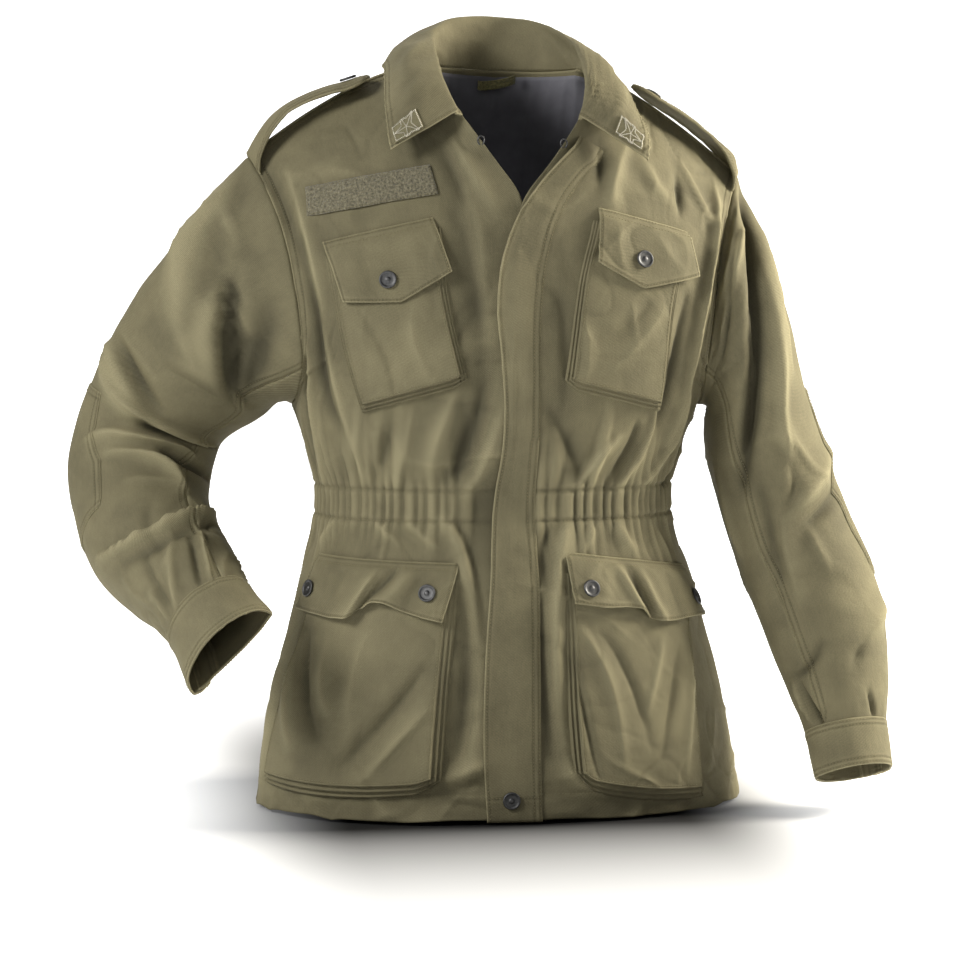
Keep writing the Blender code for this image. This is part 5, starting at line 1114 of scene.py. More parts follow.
# Drape of the bag sheets; the shares run across from the placket side and down from the mouth
BAG_FOLDS = {
    # start (across, down), middle, end, width, depth, lean
    ("chest", -1): [
        (0.30, 0.45, 0.36, 0.65, 0.30, 0.90, 12, 1.5, 0),
        (0.75, 0.40, 0.62, 0.70, 0.66, 0.95, 9, -1.5, 0),
    ],
    ("chest", 1): [
        (0.70, 0.38, 0.52, 0.55, 0.20, 0.70, 12, -1.4, 0),
        (0.84, 0.42, 0.66, 0.60, 0.40, 0.82, 11, 1.4, 0),
        (0.52, 0.42, 0.56, 0.52, 0.58, 0.62, 7, 1.0, 0),
        (0.10, 0.60, 0.16, 0.80, 0.12, 0.95, 9, 1.4, 0),
    ],
    ("lower", -1): [
        (0.88, 0.26, 0.80, 0.50, 0.66, 0.72, 13, -5.0, 0),
        (0.96, 0.30, 0.90, 0.56, 0.78, 0.80, 12, 3.5, 0),
        (0.70, 0.28, 0.68, 0.48, 0.60, 0.62, 11, 3.0, 0),
        (0.14, 0.42, 0.28, 0.62, 0.50, 0.86, 12, -4.0, 0),
        (0.10, 0.60, 0.24, 0.76, 0.38, 0.92, 10, 3.0, 0),
        (0.46, 0.25, 0.50, 0.45, 0.47, 0.70, 12, 2.0, 0),
    ],
    ("lower", 1): [
        (0.10, 0.26, 0.28, 0.50, 0.34, 0.84, 13, 2.4, 0),
        (0.22, 0.26, 0.40, 0.44, 0.54, 0.76, 11, -2.6, 0),
        (0.66, 0.26, 0.60, 0.42, 0.52, 0.60, 9, 2.8, 0),
        (0.80, 0.30, 0.72, 0.52, 0.62, 0.80, 9, -2.4, 0),
        (0.92, 0.36, 0.86, 0.60, 0.80, 0.86, 8, 2.6, 0),
        (0.06, 0.40, 0.10, 0.66, 0.16, 0.92, 7, -3.0, 0),
    ],
}
FLAP_FOLDS = {
    # start (across, down), middle, end, width, depth, lean
    ("chest", -1): [
        (0.20, 0.10, 0.24, 0.50, 0.22, 0.95, 10, 1.0, 0),
        (0.70, 0.15, 0.66, 0.55, 0.70, 0.95, 12, -1.2, 0),
    ],
    ("chest", 1): [
        (0.24, 0.05, 0.18, 0.45, 0.24, 0.90, 7, 2.2, 0),
        (0.56, 0.10, 0.66, 0.45, 0.80, 0.80, 7, 1.8, 0),
    ],
    ("lower", -1): [
        (0.37, -0.05, 0.39, 0.45, 0.48, 1.05, 4, -9.0, 0),
        (0.46, 0.05, 0.50, 0.50, 0.55, 1.05, 7, 7.0, 0.3),
        (0.30, 0.05, 0.30, 0.50, 0.35, 1.05, 9, 5.0, 0),
        (0.18, 0.15, 0.21, 0.60, 0.20, 1.02, 9, -2.5, 0),
        (0.70, 0.05, 0.72, 0.50, 0.70, 1.02, 10, -3.0, 0),
    ],
    ("lower", 1): [
        (0.38, -0.05, 0.42, 0.50, 0.48, 1.05, 4, -9.0, 0),
        (0.31, 0.00, 0.35, 0.55, 0.41, 1.05, 6, 6.0, 0),
        (0.47, 0.05, 0.50, 0.60, 0.55, 1.05, 6, 5.0, 0),
        (0.68, 0.15, 0.68, 0.60, 0.66, 1.05, 8, -3.0, 0),
        (0.20, 0.10, 0.22, 0.50, 0.16, 0.95, 8, 1.5, 0),
    ],
}
FLAP_EDGE = {
    # share from the inner side, how far the lower edge hangs below the line between its corners
    -1: ((0.0, 0.0), (0.12, -4.0), (0.24, -10.0), (0.35, -16.0), (0.42, -15.0), (0.47, -9.0),
         (0.52, 0.0), (0.6, 2.0), (0.8, 1.0), (1.0, 0.0)),
    1: ((0.0, 0.0), (0.2, 0.0), (0.34, -2.0), (0.41, 0.0), (0.49, 8.0), (0.57, 8.0), (0.75, 3.0),
        (1.0, 0.0)),
}


def read_grid(grid, i, j):
    """Value of a grid between its rows and columns."""
    i, j = np.clip(i, 0, grid.shape[0] - 1.001), np.clip(j, 0, grid.shape[1] - 1.001)
    a, b = i.astype(int), j.astype(int)
    s, t = (i - a)[..., None], (j - b)[..., None]
    low = (1 - t) * grid[a, b] + t * grid[a, b + 1]
    return (1 - s) * low + s * ((1 - t) * grid[a + 1, b] + t * grid[a + 1, b + 1])


CHART_ROWS, CHART_COLUMNS = 140, 60


def front_chart(side):
    """Places on one front by distance from the opening line, along the cloth, and by height."""
    levels = np.linspace(HEM, SHOULDER, CHART_ROWS + 1)
    share, level = np.meshgrid(np.linspace(0.0, 1.0, CHART_COLUMNS + 1), levels)
    plain = body_plain("front", side, share, level)[0]
    edges = [body_plain("front", s, np.ones(len(levels)), levels)[0][:, 0] for s in (-1, 1)]
    arc = run_lengths(plain[:, ::-1], 1)[:, ::-1]
    return np.stack([arc + (edges[1] - edges[0])[:, None] / 2, plain[:, :, 2]], axis=2)


CHARTS = {side: front_chart(side) for side in (-1, 1)}


def find_on_front(side, target):
    """Shares and levels of places (across, height) on a front, found by stepping towards them."""
    chart = CHARTS[side]
    row_high = (SHOULDER - HEM) / CHART_ROWS
    row = (target[..., 1] - HEM) / row_high
    column = np.clip(CHART_COLUMNS - target[..., 0] / 4.2, 2.0, CHART_COLUMNS - 2.0)
    for _ in range(40):
        miss = read_grid(chart, row, column) - target
        by_row = read_grid(chart, row + 0.5, column) - read_grid(chart, row - 0.5, column)
        by_column = read_grid(chart, row, column + 0.5) - read_grid(chart, row, column - 0.5)
        area = by_row[..., 0] * by_column[..., 1] - by_row[..., 1] * by_column[..., 0]
        area = np.where(np.abs(area) < 1e-6, 1e-6, area)
        row = row - 0.6 * (miss[..., 0] * by_column[..., 1] - miss[..., 1] * by_column[..., 0]) / area
        column = column - 0.6 * (by_row[..., 0] * miss[..., 1] - by_row[..., 1] * miss[..., 0]) / area
        row, column = np.clip(row, 0.0, CHART_ROWS), np.clip(column, 0.0, CHART_COLUMNS)
    return column / CHART_COLUMNS, HEM + row * row_high


def on_front(side, corners, across, down, height, drop=0.0, follow=0.0):
    """Sheet over a four-cornered place of a front; follow is how far it takes up the front's relief."""
    across, down = np.broadcast_arrays(across, down)
    top_in, top_out, low_in, low_out = (np.array(corner) for corner in corners)
    a, d = across[..., None], down[..., None]
    target = (1 - d) * ((1 - a) * top_in + a * top_out) + d * ((1 - a) * low_in + a * low_out)
    target = target - np.stack([np.zeros(across.shape), np.broadcast_to(drop, across.shape)], axis=-1)
    share, level = find_on_front(side, target)
    points, normals = body_plain("front", side, share, level)
    relief = body_height("front", side, share, level) * follow
    return points + normals * (relief + height)[..., None]


def bag_size(corners):
    return abs(corners[1][0] - corners[0][0]), abs(corners[2][1] - corners[0][1])


def bag_height(down, foot):
    """Height of a bag sheet over its front, growing from the mouth to the foot."""
    return BAG_MOUTH + (foot - BAG_MOUTH) * eased(np.clip(down, 0.0, 1.0))


def bag_sheet(kind, side, corners):
    """Front sheet of a bellows pocket with its pleated gussets, as one piece folded round the edges."""
    width, deep = bag_size(corners)
    inner = BAG_RIM + (1.0 - 2 * BAG_RIM) * spaced(width, 2.5, 1.1, 8.0)
    gusset = 1.0 - BAG_RIM * (1 - GUSSET_OUT)
    across = np.concatenate([BAG_RIM * (1 - GUSSET_OUT[::-1]), inner, gusset])
    side_rise = np.concatenate([GUSSET_RISE[::-1], np.ones(len(inner)), GUSSET_RISE])
    sheet = (1.0 - BAG_RIM) * spaced(deep, 2.5, 1.1, 8.0)
    down = np.concatenate([sheet, gusset])
    down_rise = np.concatenate([np.ones(len(sheet)), GUSSET_RISE])
    a, d = np.meshgrid(across, down[::-1])
    rise = np.minimum(side_rise[None, :], down_rise[::-1][:, None])
    from_rim = np.minimum(np.minimum(a, 1.0 - a) / 0.10, np.minimum(d / 0.10, (1.0 - d) / 0.10))
    soft = np.clip(from_rim, 0.0, 1.0)
    relief = creases(BAG_FOLDS[kind, side], a, d, (width, deep), BAG_FOLD_GAIN, BAG_FOLD_SLIM)
    relief += 0.9 * rumple(a * width, d * deep, 61 + side)
    corner = d**7 * np.clip(1.0 - a / 0.14, 0.0, 1.0) ** 1.3
    drop = d**4 * BAG_SAG[kind] * np.sin(np.pi * a) - BAG_CUT[kind, side] * corner
    total = bag_height(d, BAG_FOOT[kind]) * rise + relief * soft * rise + 0.6
    points = on_front(side, corners, a, d, total, drop, follow=0.35)
    return points, relief * soft + 1.5 * (rise > 0.99)


def pocket(kind, side, word, corners):
    points, relief = bag_sheet(kind, side, corners)
    rim = len(GUSSET_OUT)
    lines = edge_lines(points[rim:, rim:-rim], side, ("first", "last", "low"), (1.8,))
    sewing = sew(f"{kind}_pocket_{word}_stitching", lines)
    cut_and_sew(f"{kind}_pocket_{word}_drill", points, side, BAG_CLOTH, washed_drill,
                [f"{kind}_pocket_{word}"], relief=relief)


def flap(kind, side, word, corners, point_drop, wave, lift):
    """Doubled flap: sewn down along its top and lying over the bag's mouth."""
    width, deep = bag_size(corners)
    a, d = np.meshgrid(spaced(width, 2.0, 0.9, 9.0), spaced(deep, 1.9, 0.9, 9.0)[::-1])
    over = bag_height(0.42 * d, BAG_FOOT[kind]) + 2.1
    share = eased(np.clip(d / 0.2, 0.0, 1.0))
    relief = creases(FLAP_FOLDS[kind, side], a, d, (width, deep)) * np.clip(d / 0.35, 0.0, 1.0)
    relief += 0.5 * rumple(a * width, d * deep, 71 + side)
    hanging = over + 1.6 * d + wave(a, d) + np.maximum(relief, -4.0 * d - 0.8)
    height = (1 - share) * (lift + 1.4) + share * hanging
    if kind == "chest":
        near_point = np.minimum(a / FLAP_POINT_PLACE, (1.0 - a) / (1.0 - FLAP_POINT_PLACE))
        drop = point_drop * d * near_point**0.93
    else:
        drop = d**1.5 * table_curve(FLAP_EDGE[side], a)[..., 0]
    points = on_front(side, corners, a, d, height, drop, follow=0.25)
    lines = edge_lines(points, side, ("first", "last", "low"), (2.4,))
    sewing = sew(f"{kind}_flap_{word}_stitching", lines + edge_lines(points, side, ["high"], FELLED))
    cut_and_sew(f"{kind}_flap_{word}_drill", points, side, FLAP_CLOTH, washed_drill,
                [f"{kind}_flap_{word}"], relief=relief + 1.0,
                seams=[(edge, 0.7, (2.4,)) for edge in ALL_ROUND])
    return points


flap_grids = {}
for side, word in ((-1, "right"), (1, "left")):
    pocket("chest", side, word, CHEST_POCKET[side])
    pocket("lower", side, word, LOWER_POCKET[side])
    flap_grids["chest", side] = flap("chest", side, word, CHEST_FLAP[side], FLAP_POINT[side],
                                     lambda a, d: 0.75 * d * (1 + np.cos(2 * np.pi * a)), 1.1)
    flap_grids["lower", side] = flap("lower", side, word, LOWER_FLAP[side], 0.0,
                                     lambda a, d: 2.4 * d * (1 + np.cos(3 * np.pi * (a - 0.1 * side))), 1.75)


# ================================================================ name tape
# Strip of woven loop tape for a wearer's name, bare, sewn flat on the right chest all round.

TAPE_LONG, TAPE_HIGH = 137.0, 29.0
TAPE_LIFT, TAPE_CLOTH = 1.9, 0.9
NAME_TAPE = ((92.0, -68.0), (226.0, -90.0), (84.0, -96.0), (223.0, -118.0))


def loop_tape(name, light, dark):
    """Nylon loop pile, woven and brushed: a matt mat of tiny curls that glints grain by grain."""
    made, tree, skin, cloth, _ = new_finish(name)
    # Curls are 0.6 mm wide in the real tape, drawn 1.6 mm so that they show
    curls = put(tree, "TexVoronoi", {"Vector": cloth, "Scale": 620.0}, feature="SMOOTH_F1")
    knots = put(tree, "TexNoise", {"Vector": cloth, "Scale": 380.0, "Detail": 4.0, "Roughness": 0.7})
    grain = put(tree, "MapRange", {"Value": knots.outputs["Fac"], "From Min": 0.35, "From Max": 0.68})
    colour = put(tree, "Mix", {"Factor": grain.outputs[0], 6: tone(dark), 7: tone(light)}, data_type="RGBA")
    first = put(tree, "Bump", {"Height": curls.outputs["Distance"], "Strength": 0.8, "Distance": 0.0012})
    both = put(tree, "Bump", {"Height": knots.outputs["Fac"], "Strength": 0.9, "Distance": 0.0015,
                              "Normal": first.outputs["Normal"]})
    feed(tree, skin, {"Base Color": colour.outputs[2], "Normal": both.outputs["Normal"], "Roughness": 0.9,
                      "Sheen Weight": 0.3})
    return made


olive_loop = loop_tape("olive loop tape", "#878168", "#454132")
a, d = np.meshgrid(spaced(TAPE_LONG, 1.5, 0.9, 4.0), spaced(TAPE_HIGH, 1.5, 0.8, 4.0)[::-1])
pile = np.clip(np.minimum(np.minimum(a, 1 - a) * TAPE_LONG, np.minimum(d, 1 - d) * TAPE_HIGH) / 2.6, 0.0, 1.0)
x, y = a * TAPE_LONG, d * TAPE_HIGH
curl = np.abs(dapple(x, y, 1.7, 81)) * 1.1 + 0.5 * dapple(x, y, 4.0, 82)
tape = on_front(-1, NAME_TAPE, a, d, TAPE_LIFT + pile * (0.7 + curl), follow=0.5)
sewing = sew("name_tape_stitching", edge_lines(tape, -1, ALL_ROUND, (1.6,)))
cut_and_sew("name_tape_loops", tape, -1, TAPE_CLOTH, olive_loop, ["name_tape"],
            plain=on_front(-1, NAME_TAPE, a, d, TAPE_LIFT + 0 * a))


# ================================================================ collar
# Turned-down collar of doubled drill with an interlining: a stand sewn into the neck, a roll, and a
# leaf that falls to two points in front, edge-stitched and a little puckered by washing.

COLLAR = [
    # share  stand                 roll                  fall                    leaf edge
    (0.0, (59.0, -92.5, -20.0), (62.0, -96.0, -19.0), (92.0, -103.0, -37.0), (126.0, -104.0, -57.0)),
    (0.14, (67.0, -79.0, -3.0), (70.0, -85.0, 3.0), (100.0, -96.0, -15.0), (128.0, -94.0, -41.0)),
    (0.3, (72.0, -55.0, 15.0), (74.0, -58.0, 25.0), (104.0, -72.0, 12.0), (128.0, -72.0, -15.0)),
    (0.46, (73.0, -24.0, 35.0), (74.0, -22.0, 48.0), (104.0, -29.0, 42.0), (124.0, -33.0, 19.0)),
    (0.62, (68.0, 12.0, 47.0), (69.0, 18.0, 63.0), (98.0, 24.0, 53.0), (118.0, 26.0, 26.0)),
    (0.8, (47.0, 51.0, 58.0), (45.0, 60.0, 78.0), (66.0, 84.0, 62.0), (82.0, 98.0, 30.0)),
    (1.0, (0.0, 70.0, 62.0), (0.0, 80.0, 83.0), (0.0, 106.0, 64.0), (0.0, 122.0, 26.0)),
]
COLLAR_NARROW = (0.0, 4.0, 13.0, 16.0)      # how much closer the left half stands, at each of the four
COLLAR_CLOTH = 2.4


def neck_seam():
    """Points and normals along the neck seam, from the right front's end to the left front's."""
    levels = np.linspace(-76.25, 0.0, 15)
    shares = np.linspace(SHOULDER_SHARE, 1.0, 31)
    right = body_plain("front", -1, np.ones(15), levels)
    left = body_plain("front", 1, np.ones(15), levels)
    back_right = body_plain("back", -1, shares, np.zeros(31))
    back_left = body_plain("back", 1, shares, np.zeros(31))
    runs = [np.concatenate([right[k][:-1], back_right[k], back_left[k][::-1][1:], left[k][::-1][1:]])
            for k in (0, 1)]
    for _ in range(6):
        runs[1][1:-1] = (runs[1][:-2] + runs[1][1:-1] + runs[1][2:]) / 3
    runs[1] = unit(runs[1])
    arc = path_lengths(runs[0])
    half = arc[len(arc) // 2]
    at = np.unique(np.concatenate([spaced(arc[-1], 3.0) * arc[-1], [half]]))
    return [np.stack([np.interp(at, arc, run[:, k]) for k in range(3)], axis=1) for run in runs]


def collar_form():
    """The collar's plain form from the neck seam over the roll to the leaf edge, its shares and stations."""
    seam, normals = neck_seam()
    arc = path_lengths(seam)
    middle = int(np.argmax(seam[:, 1]))
    from_left = (arc[-1] - arc) / (arc[-1] - arc[middle])
    share = np.where(np.arange(len(seam)) <= middle, arc / arc[middle], from_left)
    side = np.where(np.arange(len(seam)) < middle, -1.0, 1.0)
    knots = []
    past = COLLAR[-2]          # mirrored beyond the centre back, so that the collar runs level there
    ends = [row[0] for row in COLLAR] + [2.0 - past[0]]
    for k in range(4):
        mirrored = (-past[1 + k][0],) + past[1 + k][1:]
        line = smooth(ends, [row[1 + k] for row in COLLAR] + [mirrored], share)
        narrow = COLLAR_NARROW[k] * np.sin(np.pi * np.clip((share - 0.15) / 0.85, 0.0, 1.0)) ** 2 * (side > 0)
        line[:, 0] = (line[:, 0] - narrow) * side + NECK_SHIFT
        knots.append(tilt(line))
    tangent = np.gradient(seam, axis=0)
    away = unit(np.cross(tangent, normals))
    to_neck = np.stack([NECK_SHIFT - seam[:, 0], np.zeros(len(seam)), np.full(len(seam), 60.0)], axis=1)
    away *= np.sign(np.sum(away * to_neck, axis=1))[:, None]
    first = seam - 0.8 * normals + away * 1.6
    stack = np.stack([first] + knots)
    # Stations from the seam over the roll to the leaf edge, close together near the edge
    leaf = 2.0 + 2.0 * spaced(62.0, 2.6)
    stations = np.concatenate([np.linspace(0.0, 2.0, 22)[:-1], leaf])
    return smooth(np.arange(5.0), stack, stations), share, stations


collar, collar_share, collar_stations = collar_form()
s, t = np.meshgrid(collar_share, collar_stations)
run = run_lengths(collar, 1)
on_leaf = np.clip((t - 2.0) / 0.5, 0.0, 1.0)
ripple = 0.9 * dapple(run, t * 30.0, 26.0, 91) + 0.5 * dapple(run + 20 * t, t * 30.0, 13.0, 92)
edge_pucker = 0.8 * np.sin(2 * np.pi * run / 8.5 + 2 * dapple(run, t, 30.0, 93))
edge_pucker = edge_pucker * np.clip((t - 3.2) / 0.8, 0.0, 1.0)
# Crisp creases where the collar turns on the left, and faint ones inside the stand
bend = np.exp(-(((s - 0.20) / 0.10) ** 2)) * (np.arange(len(collar_share)) > len(collar_share) / 2)[None]
crimp = (1.0 - np.abs(np.sin(np.pi * (run / 9.0 + 0.4 * t)))) ** 2
pleats = 1.8 * bend * crimp * np.clip(1.5 - np.abs(t - 2.2), 0.0, 1.0)
inside = 1.1 * (1.0 - np.abs(dapple(run + 12.0 * t, 16.0 * t, 30.0, 94))) ** 8 * (1.0 - on_leaf)
collar_relief = 1.4 * ripple * (0.35 + 0.65 * on_leaf) + edge_pucker * np.clip((0.7 - s) / 0.2, 0.3, 1.0)
collar_relief = collar_relief + pleats + inside
fade = np.clip(np.minimum(run, run[:, -1:] - run) / 8.0, 0.0, 1.0) * np.clip(t / 0.4, 0.0, 1.0)
collar = collar + sheet_normals(collar, 1) * (collar_relief * fade)[..., None]
lines = edge_lines(collar, 1, ["high"], (2.5, 8.5)) + edge_lines(collar, 1, ("first", "last"), (2.5,))
sewing = sew("collar_stitching", lines + edge_lines(collar, 1, ["low"], (2.0,)))
cut_and_sew("collar_drill", collar, 1, COLLAR_CLOTH, washed_drill, ["collar"],
            relief=collar_relief + 1.0,
            seams=[("high", 0.8, (2.5, 8.5)), ("first", 0.8, (2.5,)), ("last", 0.8, (2.5,))])


# ================================================================ collar badges
# Small patches of dark cloth near the collar points, hand-sewn, each with a plain embroidered star.

def badge_cloth():
    """Wool felt, pressed: dull and slightly fuzzy."""
    made, tree, skin, _, place = new_finish("grey-green badge felt")
    fuzz = put(tree, "TexNoise", {"Vector": place, "Scale": 700.0, "Detail": 4.0, "Roughness": 0.7})
    colour = put(tree, "Mix", {"Factor": fuzz.outputs["Fac"], 6: tone("#4f4b36"), 7: tone("#8b8566")},
                 data_type="RGBA")
    bump = put(tree, "Bump", {"Height": fuzz.outputs["Fac"], "Strength": 0.6, "Distance": 0.0008})
    feed(tree, skin, {"Base Color": colour.outputs[2], "Normal": bump.outputs["Normal"], "Roughness": 0.9})
    return made


def embroidery_thread():
    """Rayon satin stitch: off-white, with a soft gloss across the threads."""
    made, tree, skin, _, place = new_finish("off-white embroidery")
    strands = put(tree, "TexWave", {"Vector": place, "Scale": 900.0, "Distortion": 2.0})
    colour = put(tree, "Mix", {"Factor": strands.outputs["Fac"], 6: tone("#d6d0bd"), 7: tone("#fbf8ee")},
                 data_type="RGBA")
    bump = put(tree, "Bump", {"Height": strands.outputs["Fac"], "Strength": 0.5, "Distance": 0.0003})
    feed(tree, skin, {"Base Color": colour.outputs[2], "Normal": bump.outputs["Normal"], "Roughness": 0.45})
    return made


badge_felt = badge_cloth()
star_thread = embroidery_thread()
BADGE_PLACE = {-1: (0.006, 0.046), 1: (0.954, 0.993)}      # shares along the collar
BADGE_STATION = {-1: (3.03, 3.83), 1: (2.97, 3.75)}
BADGE_LIFT, BADGE_CLOTH = 1.9, 1.0


collar_normals = sheet_normals(collar, 1)
lengths = run_lengths(collar, 1)
lengths = lengths[len(lengths) // 2]            # along the collar's middle row
for side, word in ((-1, "right"), (1, "left")):
    span = np.linspace(*BADGE_PLACE[side], 30)
    station = np.linspace(*BADGE_STATION[side], 18)
    j, i = np.meshgrid(np.interp(span * lengths[-1], lengths, np.arange(len(lengths))),
                       np.interp(station, collar_stations, np.arange(len(collar_stations))))
    points, normals = read_grid(collar, i, j), read_grid(collar_normals, i, j)
    cloth = points + normals * BADGE_LIFT
    wide, high = run_lengths(cloth, 1)[9, -1], run_lengths(cloth, 0)[-1, 15]
    border = edge_lines(cloth, 1, ALL_ROUND, (1.2,))
    edging = sew(f"collar_badge_{word}_border", border, star_thread, 1.6, 1.4, 0.4)
    # Star of five points: satin-stitched outline, and a line from its middle to each point
    turns = np.radians(90.0 + 36.0 * np.arange(11))
    reach = np.where(np.arange(11) % 2 == 0, 0.44, 0.18) * high
    tips = np.stack([1.25 * reach * np.cos(turns) / wide, reach * np.sin(turns) / high], axis=1) + 0.5
    rays = [np.linspace(tips[k], tips[k + 1], 12) for k in range(10)]
    rays += [np.linspace((0.5, 0.5), tips[k], 12) for k in range(0, 10, 2)]
    strokes = []
    for ray in rays:
        i, j = ray[:, 1] * (cloth.shape[0] - 1), ray[:, 0] * (cloth.shape[1] - 1)
        strokes.append(np.hstack([read_grid(cloth, i, j), read_grid(normals, i, j)]))
    star = sew(f"collar_star_{word}", strokes, star_thread, 1.0, 1.3, 0.0)
    cut_and_sew(f"collar_badge_{word}_felt", cloth, 1, BADGE_CLOTH, badge_felt,
                [f"collar_badge_{word}"])


# ================================================================ lining and hanger loop
# A half lining of dark cotton inside the shoulders, stitched in narrow ribs, and a short loop of
# olive tape caught in the neck seam to hang the jacket by.

def ribbed_lining():
    """Plain-woven cotton, reactive-dyed charcoal: matt, with a faint bluish cast."""
    made, tree, skin, cloth, _ = new_finish("charcoal cotton lining")
    cloud = put(tree, "TexNoise", {"Vector": cloth, "Scale": 40.0, "Detail": 5.0})
    colour = put(tree, "Mix", {"Factor": cloud.outputs["Fac"], 6: tone("#4e4e55"), 7: tone("#72727a")},
                 data_type="RGBA")
    threads = put(tree, "TexNoise", {"Vector": cloth, "Scale": 1200.0, "Detail": 1.0})
    bump = put(tree, "Bump", {"Height": threads.outputs["Fac"], "Strength": 0.25, "Distance": 0.0004})
    feed(tree, skin, {"Base Color": colour.outputs[2], "Normal": bump.outputs["Normal"], "Roughness": 0.85,
                      "Sheen Weight": 0.15})
    return made


charcoal_lining = ribbed_lining()
RIB = 15.0                 # space between the stitched ribs
LINING_INSIDE = 3.7        # how far inside the back's plain form it lies
levels = np.linspace(-227.0, -4.0, 60)
shares = np.linspace(0.345, 1.0, 66)
halves = []
for side, order in ((-1, slice(None, -1)), (1, slice(None, None, -1))):
    share, level = np.meshgrid(shares[order], levels)
    plain, normal = body_plain("back", side, share, level)
    x = (1.0 - share) * PANEL * side
    rib = np.abs(np.sin(np.pi * x / RIB)) ** 0.4 * 1.8
    slack = 0.9 * dapple(x + 300.0, 0.5 * level, 16.0, 101) + 1.2 * dapple(x + 300.0, level, 46.0, 102)
    # It gives way to the back's troughs
    dip = np.minimum(body_height("back", side, share, level) + 0.6, 0.0)
    halves.append(plain - normal * (LINING_INSIDE - dip - rib * 0.8 - np.clip(slack, -0.6, 0.8))[..., None])
lining = np.concatenate(halves, axis=1)
cut_and_sew("back_lining_cotton", lining, -1, 0.6, charcoal_lining, ["back_lining"])

def node_box(node):
    """Lowest and highest corner and the middle of a node, in mm."""
    low, high = (np.array(corner) * 1000.0 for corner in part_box(node))
    return low, high, (low + high) / 2


woven_tape = loop_tape("olive woven tape", "#8f8a5a", "#5a5634")
low, high, centre = node_box("hanger_loop")
turn = np.linspace(0.0, math.pi, 44)
arch = np.stack([centre[0] - 19.3 * np.cos(turn), high[1] - 1.2 - 5.4 * np.sin(turn),
                 low[2] + 3.4 + 3.4 * np.cos(turn + math.pi) - 3.0 * np.sin(turn)], axis=1)
loop = np.stack([arch + [0.0, -5.2 * wide, 8.8 * wide] for wide in np.linspace(0.0, 1.0, 9)])
cut_and_sew("hanger_loop_tape", loop, 1, 0.9, woven_tape, ["hanger_loop"])


# ================================================================ shoulder straps
# Straps of doubled drill sewn into the armhole seams, standing off the shoulders in a low arch, their
# pointed ends snapped down beside the collar.

EPAULETTE = {
    -1: [(-247.0, 4.0, -51.0), (-240.0, 3.0, -37.0), (-228.0, 1.0, -21.0), (-212.0, -2.0, -8.0),
         (-193.0, -5.0, 2.0), (-174.0, -8.0, 9.0), (-157.0, -11.0, 14.0), (-143.0, -14.0, 19.0),
         (-131.0, -16.0, 22.0)],
    1: [(243.0, 5.0, -71.0), (238.0, 4.0, -58.0), (226.0, 2.0, -47.0), (210.0, 0.0, -36.0),
        (193.0, -3.0, -23.0), (176.0, -6.0, -12.0), (158.0, -9.0, -2.0), (143.0, -12.0, 7.0),
        (132.0, -14.0, 13.0)],
}
STRAP_HALF = 21.0
DROOP = {-1: 7.0, 1: 2.0}
CANT = {-1: 0.0, 1: 2.2}         # the left one's front edge stands up
STRAP_CLOTH = 2.4
STRAP_ROWS = (2.4, 7.0)
strap_grids = {}
for side, word in ((-1, "right"), (1, "left")):
    spread = -1.0 + 2.0 * spaced(2 * STRAP_HALF, 1.7, 0.9, 6.0)
    row = np.concatenate([np.linspace(0.0, 0.4, 8), np.linspace(0.4, 8.0, 56)[1:]])
    centre = smooth(np.arange(9.0), EPAULETTE[side], row)
    half = STRAP_HALF * np.interp(row, [0.0, 6.6, 7.2, 8.0], [1.0, 1.0, 0.84, 0.30])
    out = half[:, None] * spread
    sink = (DROOP[side] * spread**2 + CANT[side] * spread) * half[:, None] / STRAP_HALF
    grid = centre[:, None] + np.stack([np.zeros(out.shape), out, -sink], axis=-1)
    seam = armhole_loop(side, 0.5 + 0.055 * spread) + np.array([0.45 * side, 0.0, 0.89]) * (STRAP_CLOTH + 0.3)
    share = np.interp(row, [0.0, 1.0, 2.0, 2.9], [1.0, 0.6, 0.2, 0.0])
    past_seam = np.clip(row, 0.0, 1.0)[:, None]
    hold = share[:, None] * ((1 - past_seam) + past_seam * spread**2)
    grid = grid + (seam[None] - grid) * hold[..., None]
    wave = 0.8 * dapple(run_lengths(grid, 0), 21.0 * spread[None] + 0 * grid[..., 0], 27.0, 111 + side)
    quiet = np.clip(row / 1.2, 0.0, 1.0)[:, None]
    grid = grid + sheet_normals(grid, side) * (wave * quiet)[..., None]
    edges = ("first", "last", "high")
    sewing = sew(f"epaulette_{word}_stitching", edge_lines(grid, side, edges, STRAP_ROWS))
    cut_and_sew(f"epaulette_{word}_drill", grid, side, STRAP_CLOTH, washed_drill,
                [f"epaulette_{word}"], relief=wave * quiet + 1.5,
                seams=[(edge, 0.8, STRAP_ROWS) for edge in edges])
    strap_grids[side] = grid


# ================================================================ snaps
# Ring-spring snap caps pressed from brass and plated dark: a rolled rim, a dished ring and a small
# raised button in the middle, riveted through the flap, strap, cuff or placket.

def gunmetal():
    """Black-nickel plated brass, worn: dark and glossy, with random paler patches."""
    made, tree, skin, _, place = new_finish("black nickel plate")
    patina = put(tree, "TexNoise", {"Vector": place, "Scale": 420.0, "Detail": 4.0})
    colour = put(tree, "Mix", {"Factor": patina.outputs["Fac"], 6: tone("#38393b"), 7: tone("#6a6a6a")},
                 data_type="RGBA")
    polish = put(tree, "MapRange", {"Value": patina.outputs["Fac"], "To Min": 0.42, "To Max": 0.6})
    feed(tree, skin, {"Base Color": colour.outputs[2], "Roughness": polish.outputs[0], "Metallic": 1.0})
    return made


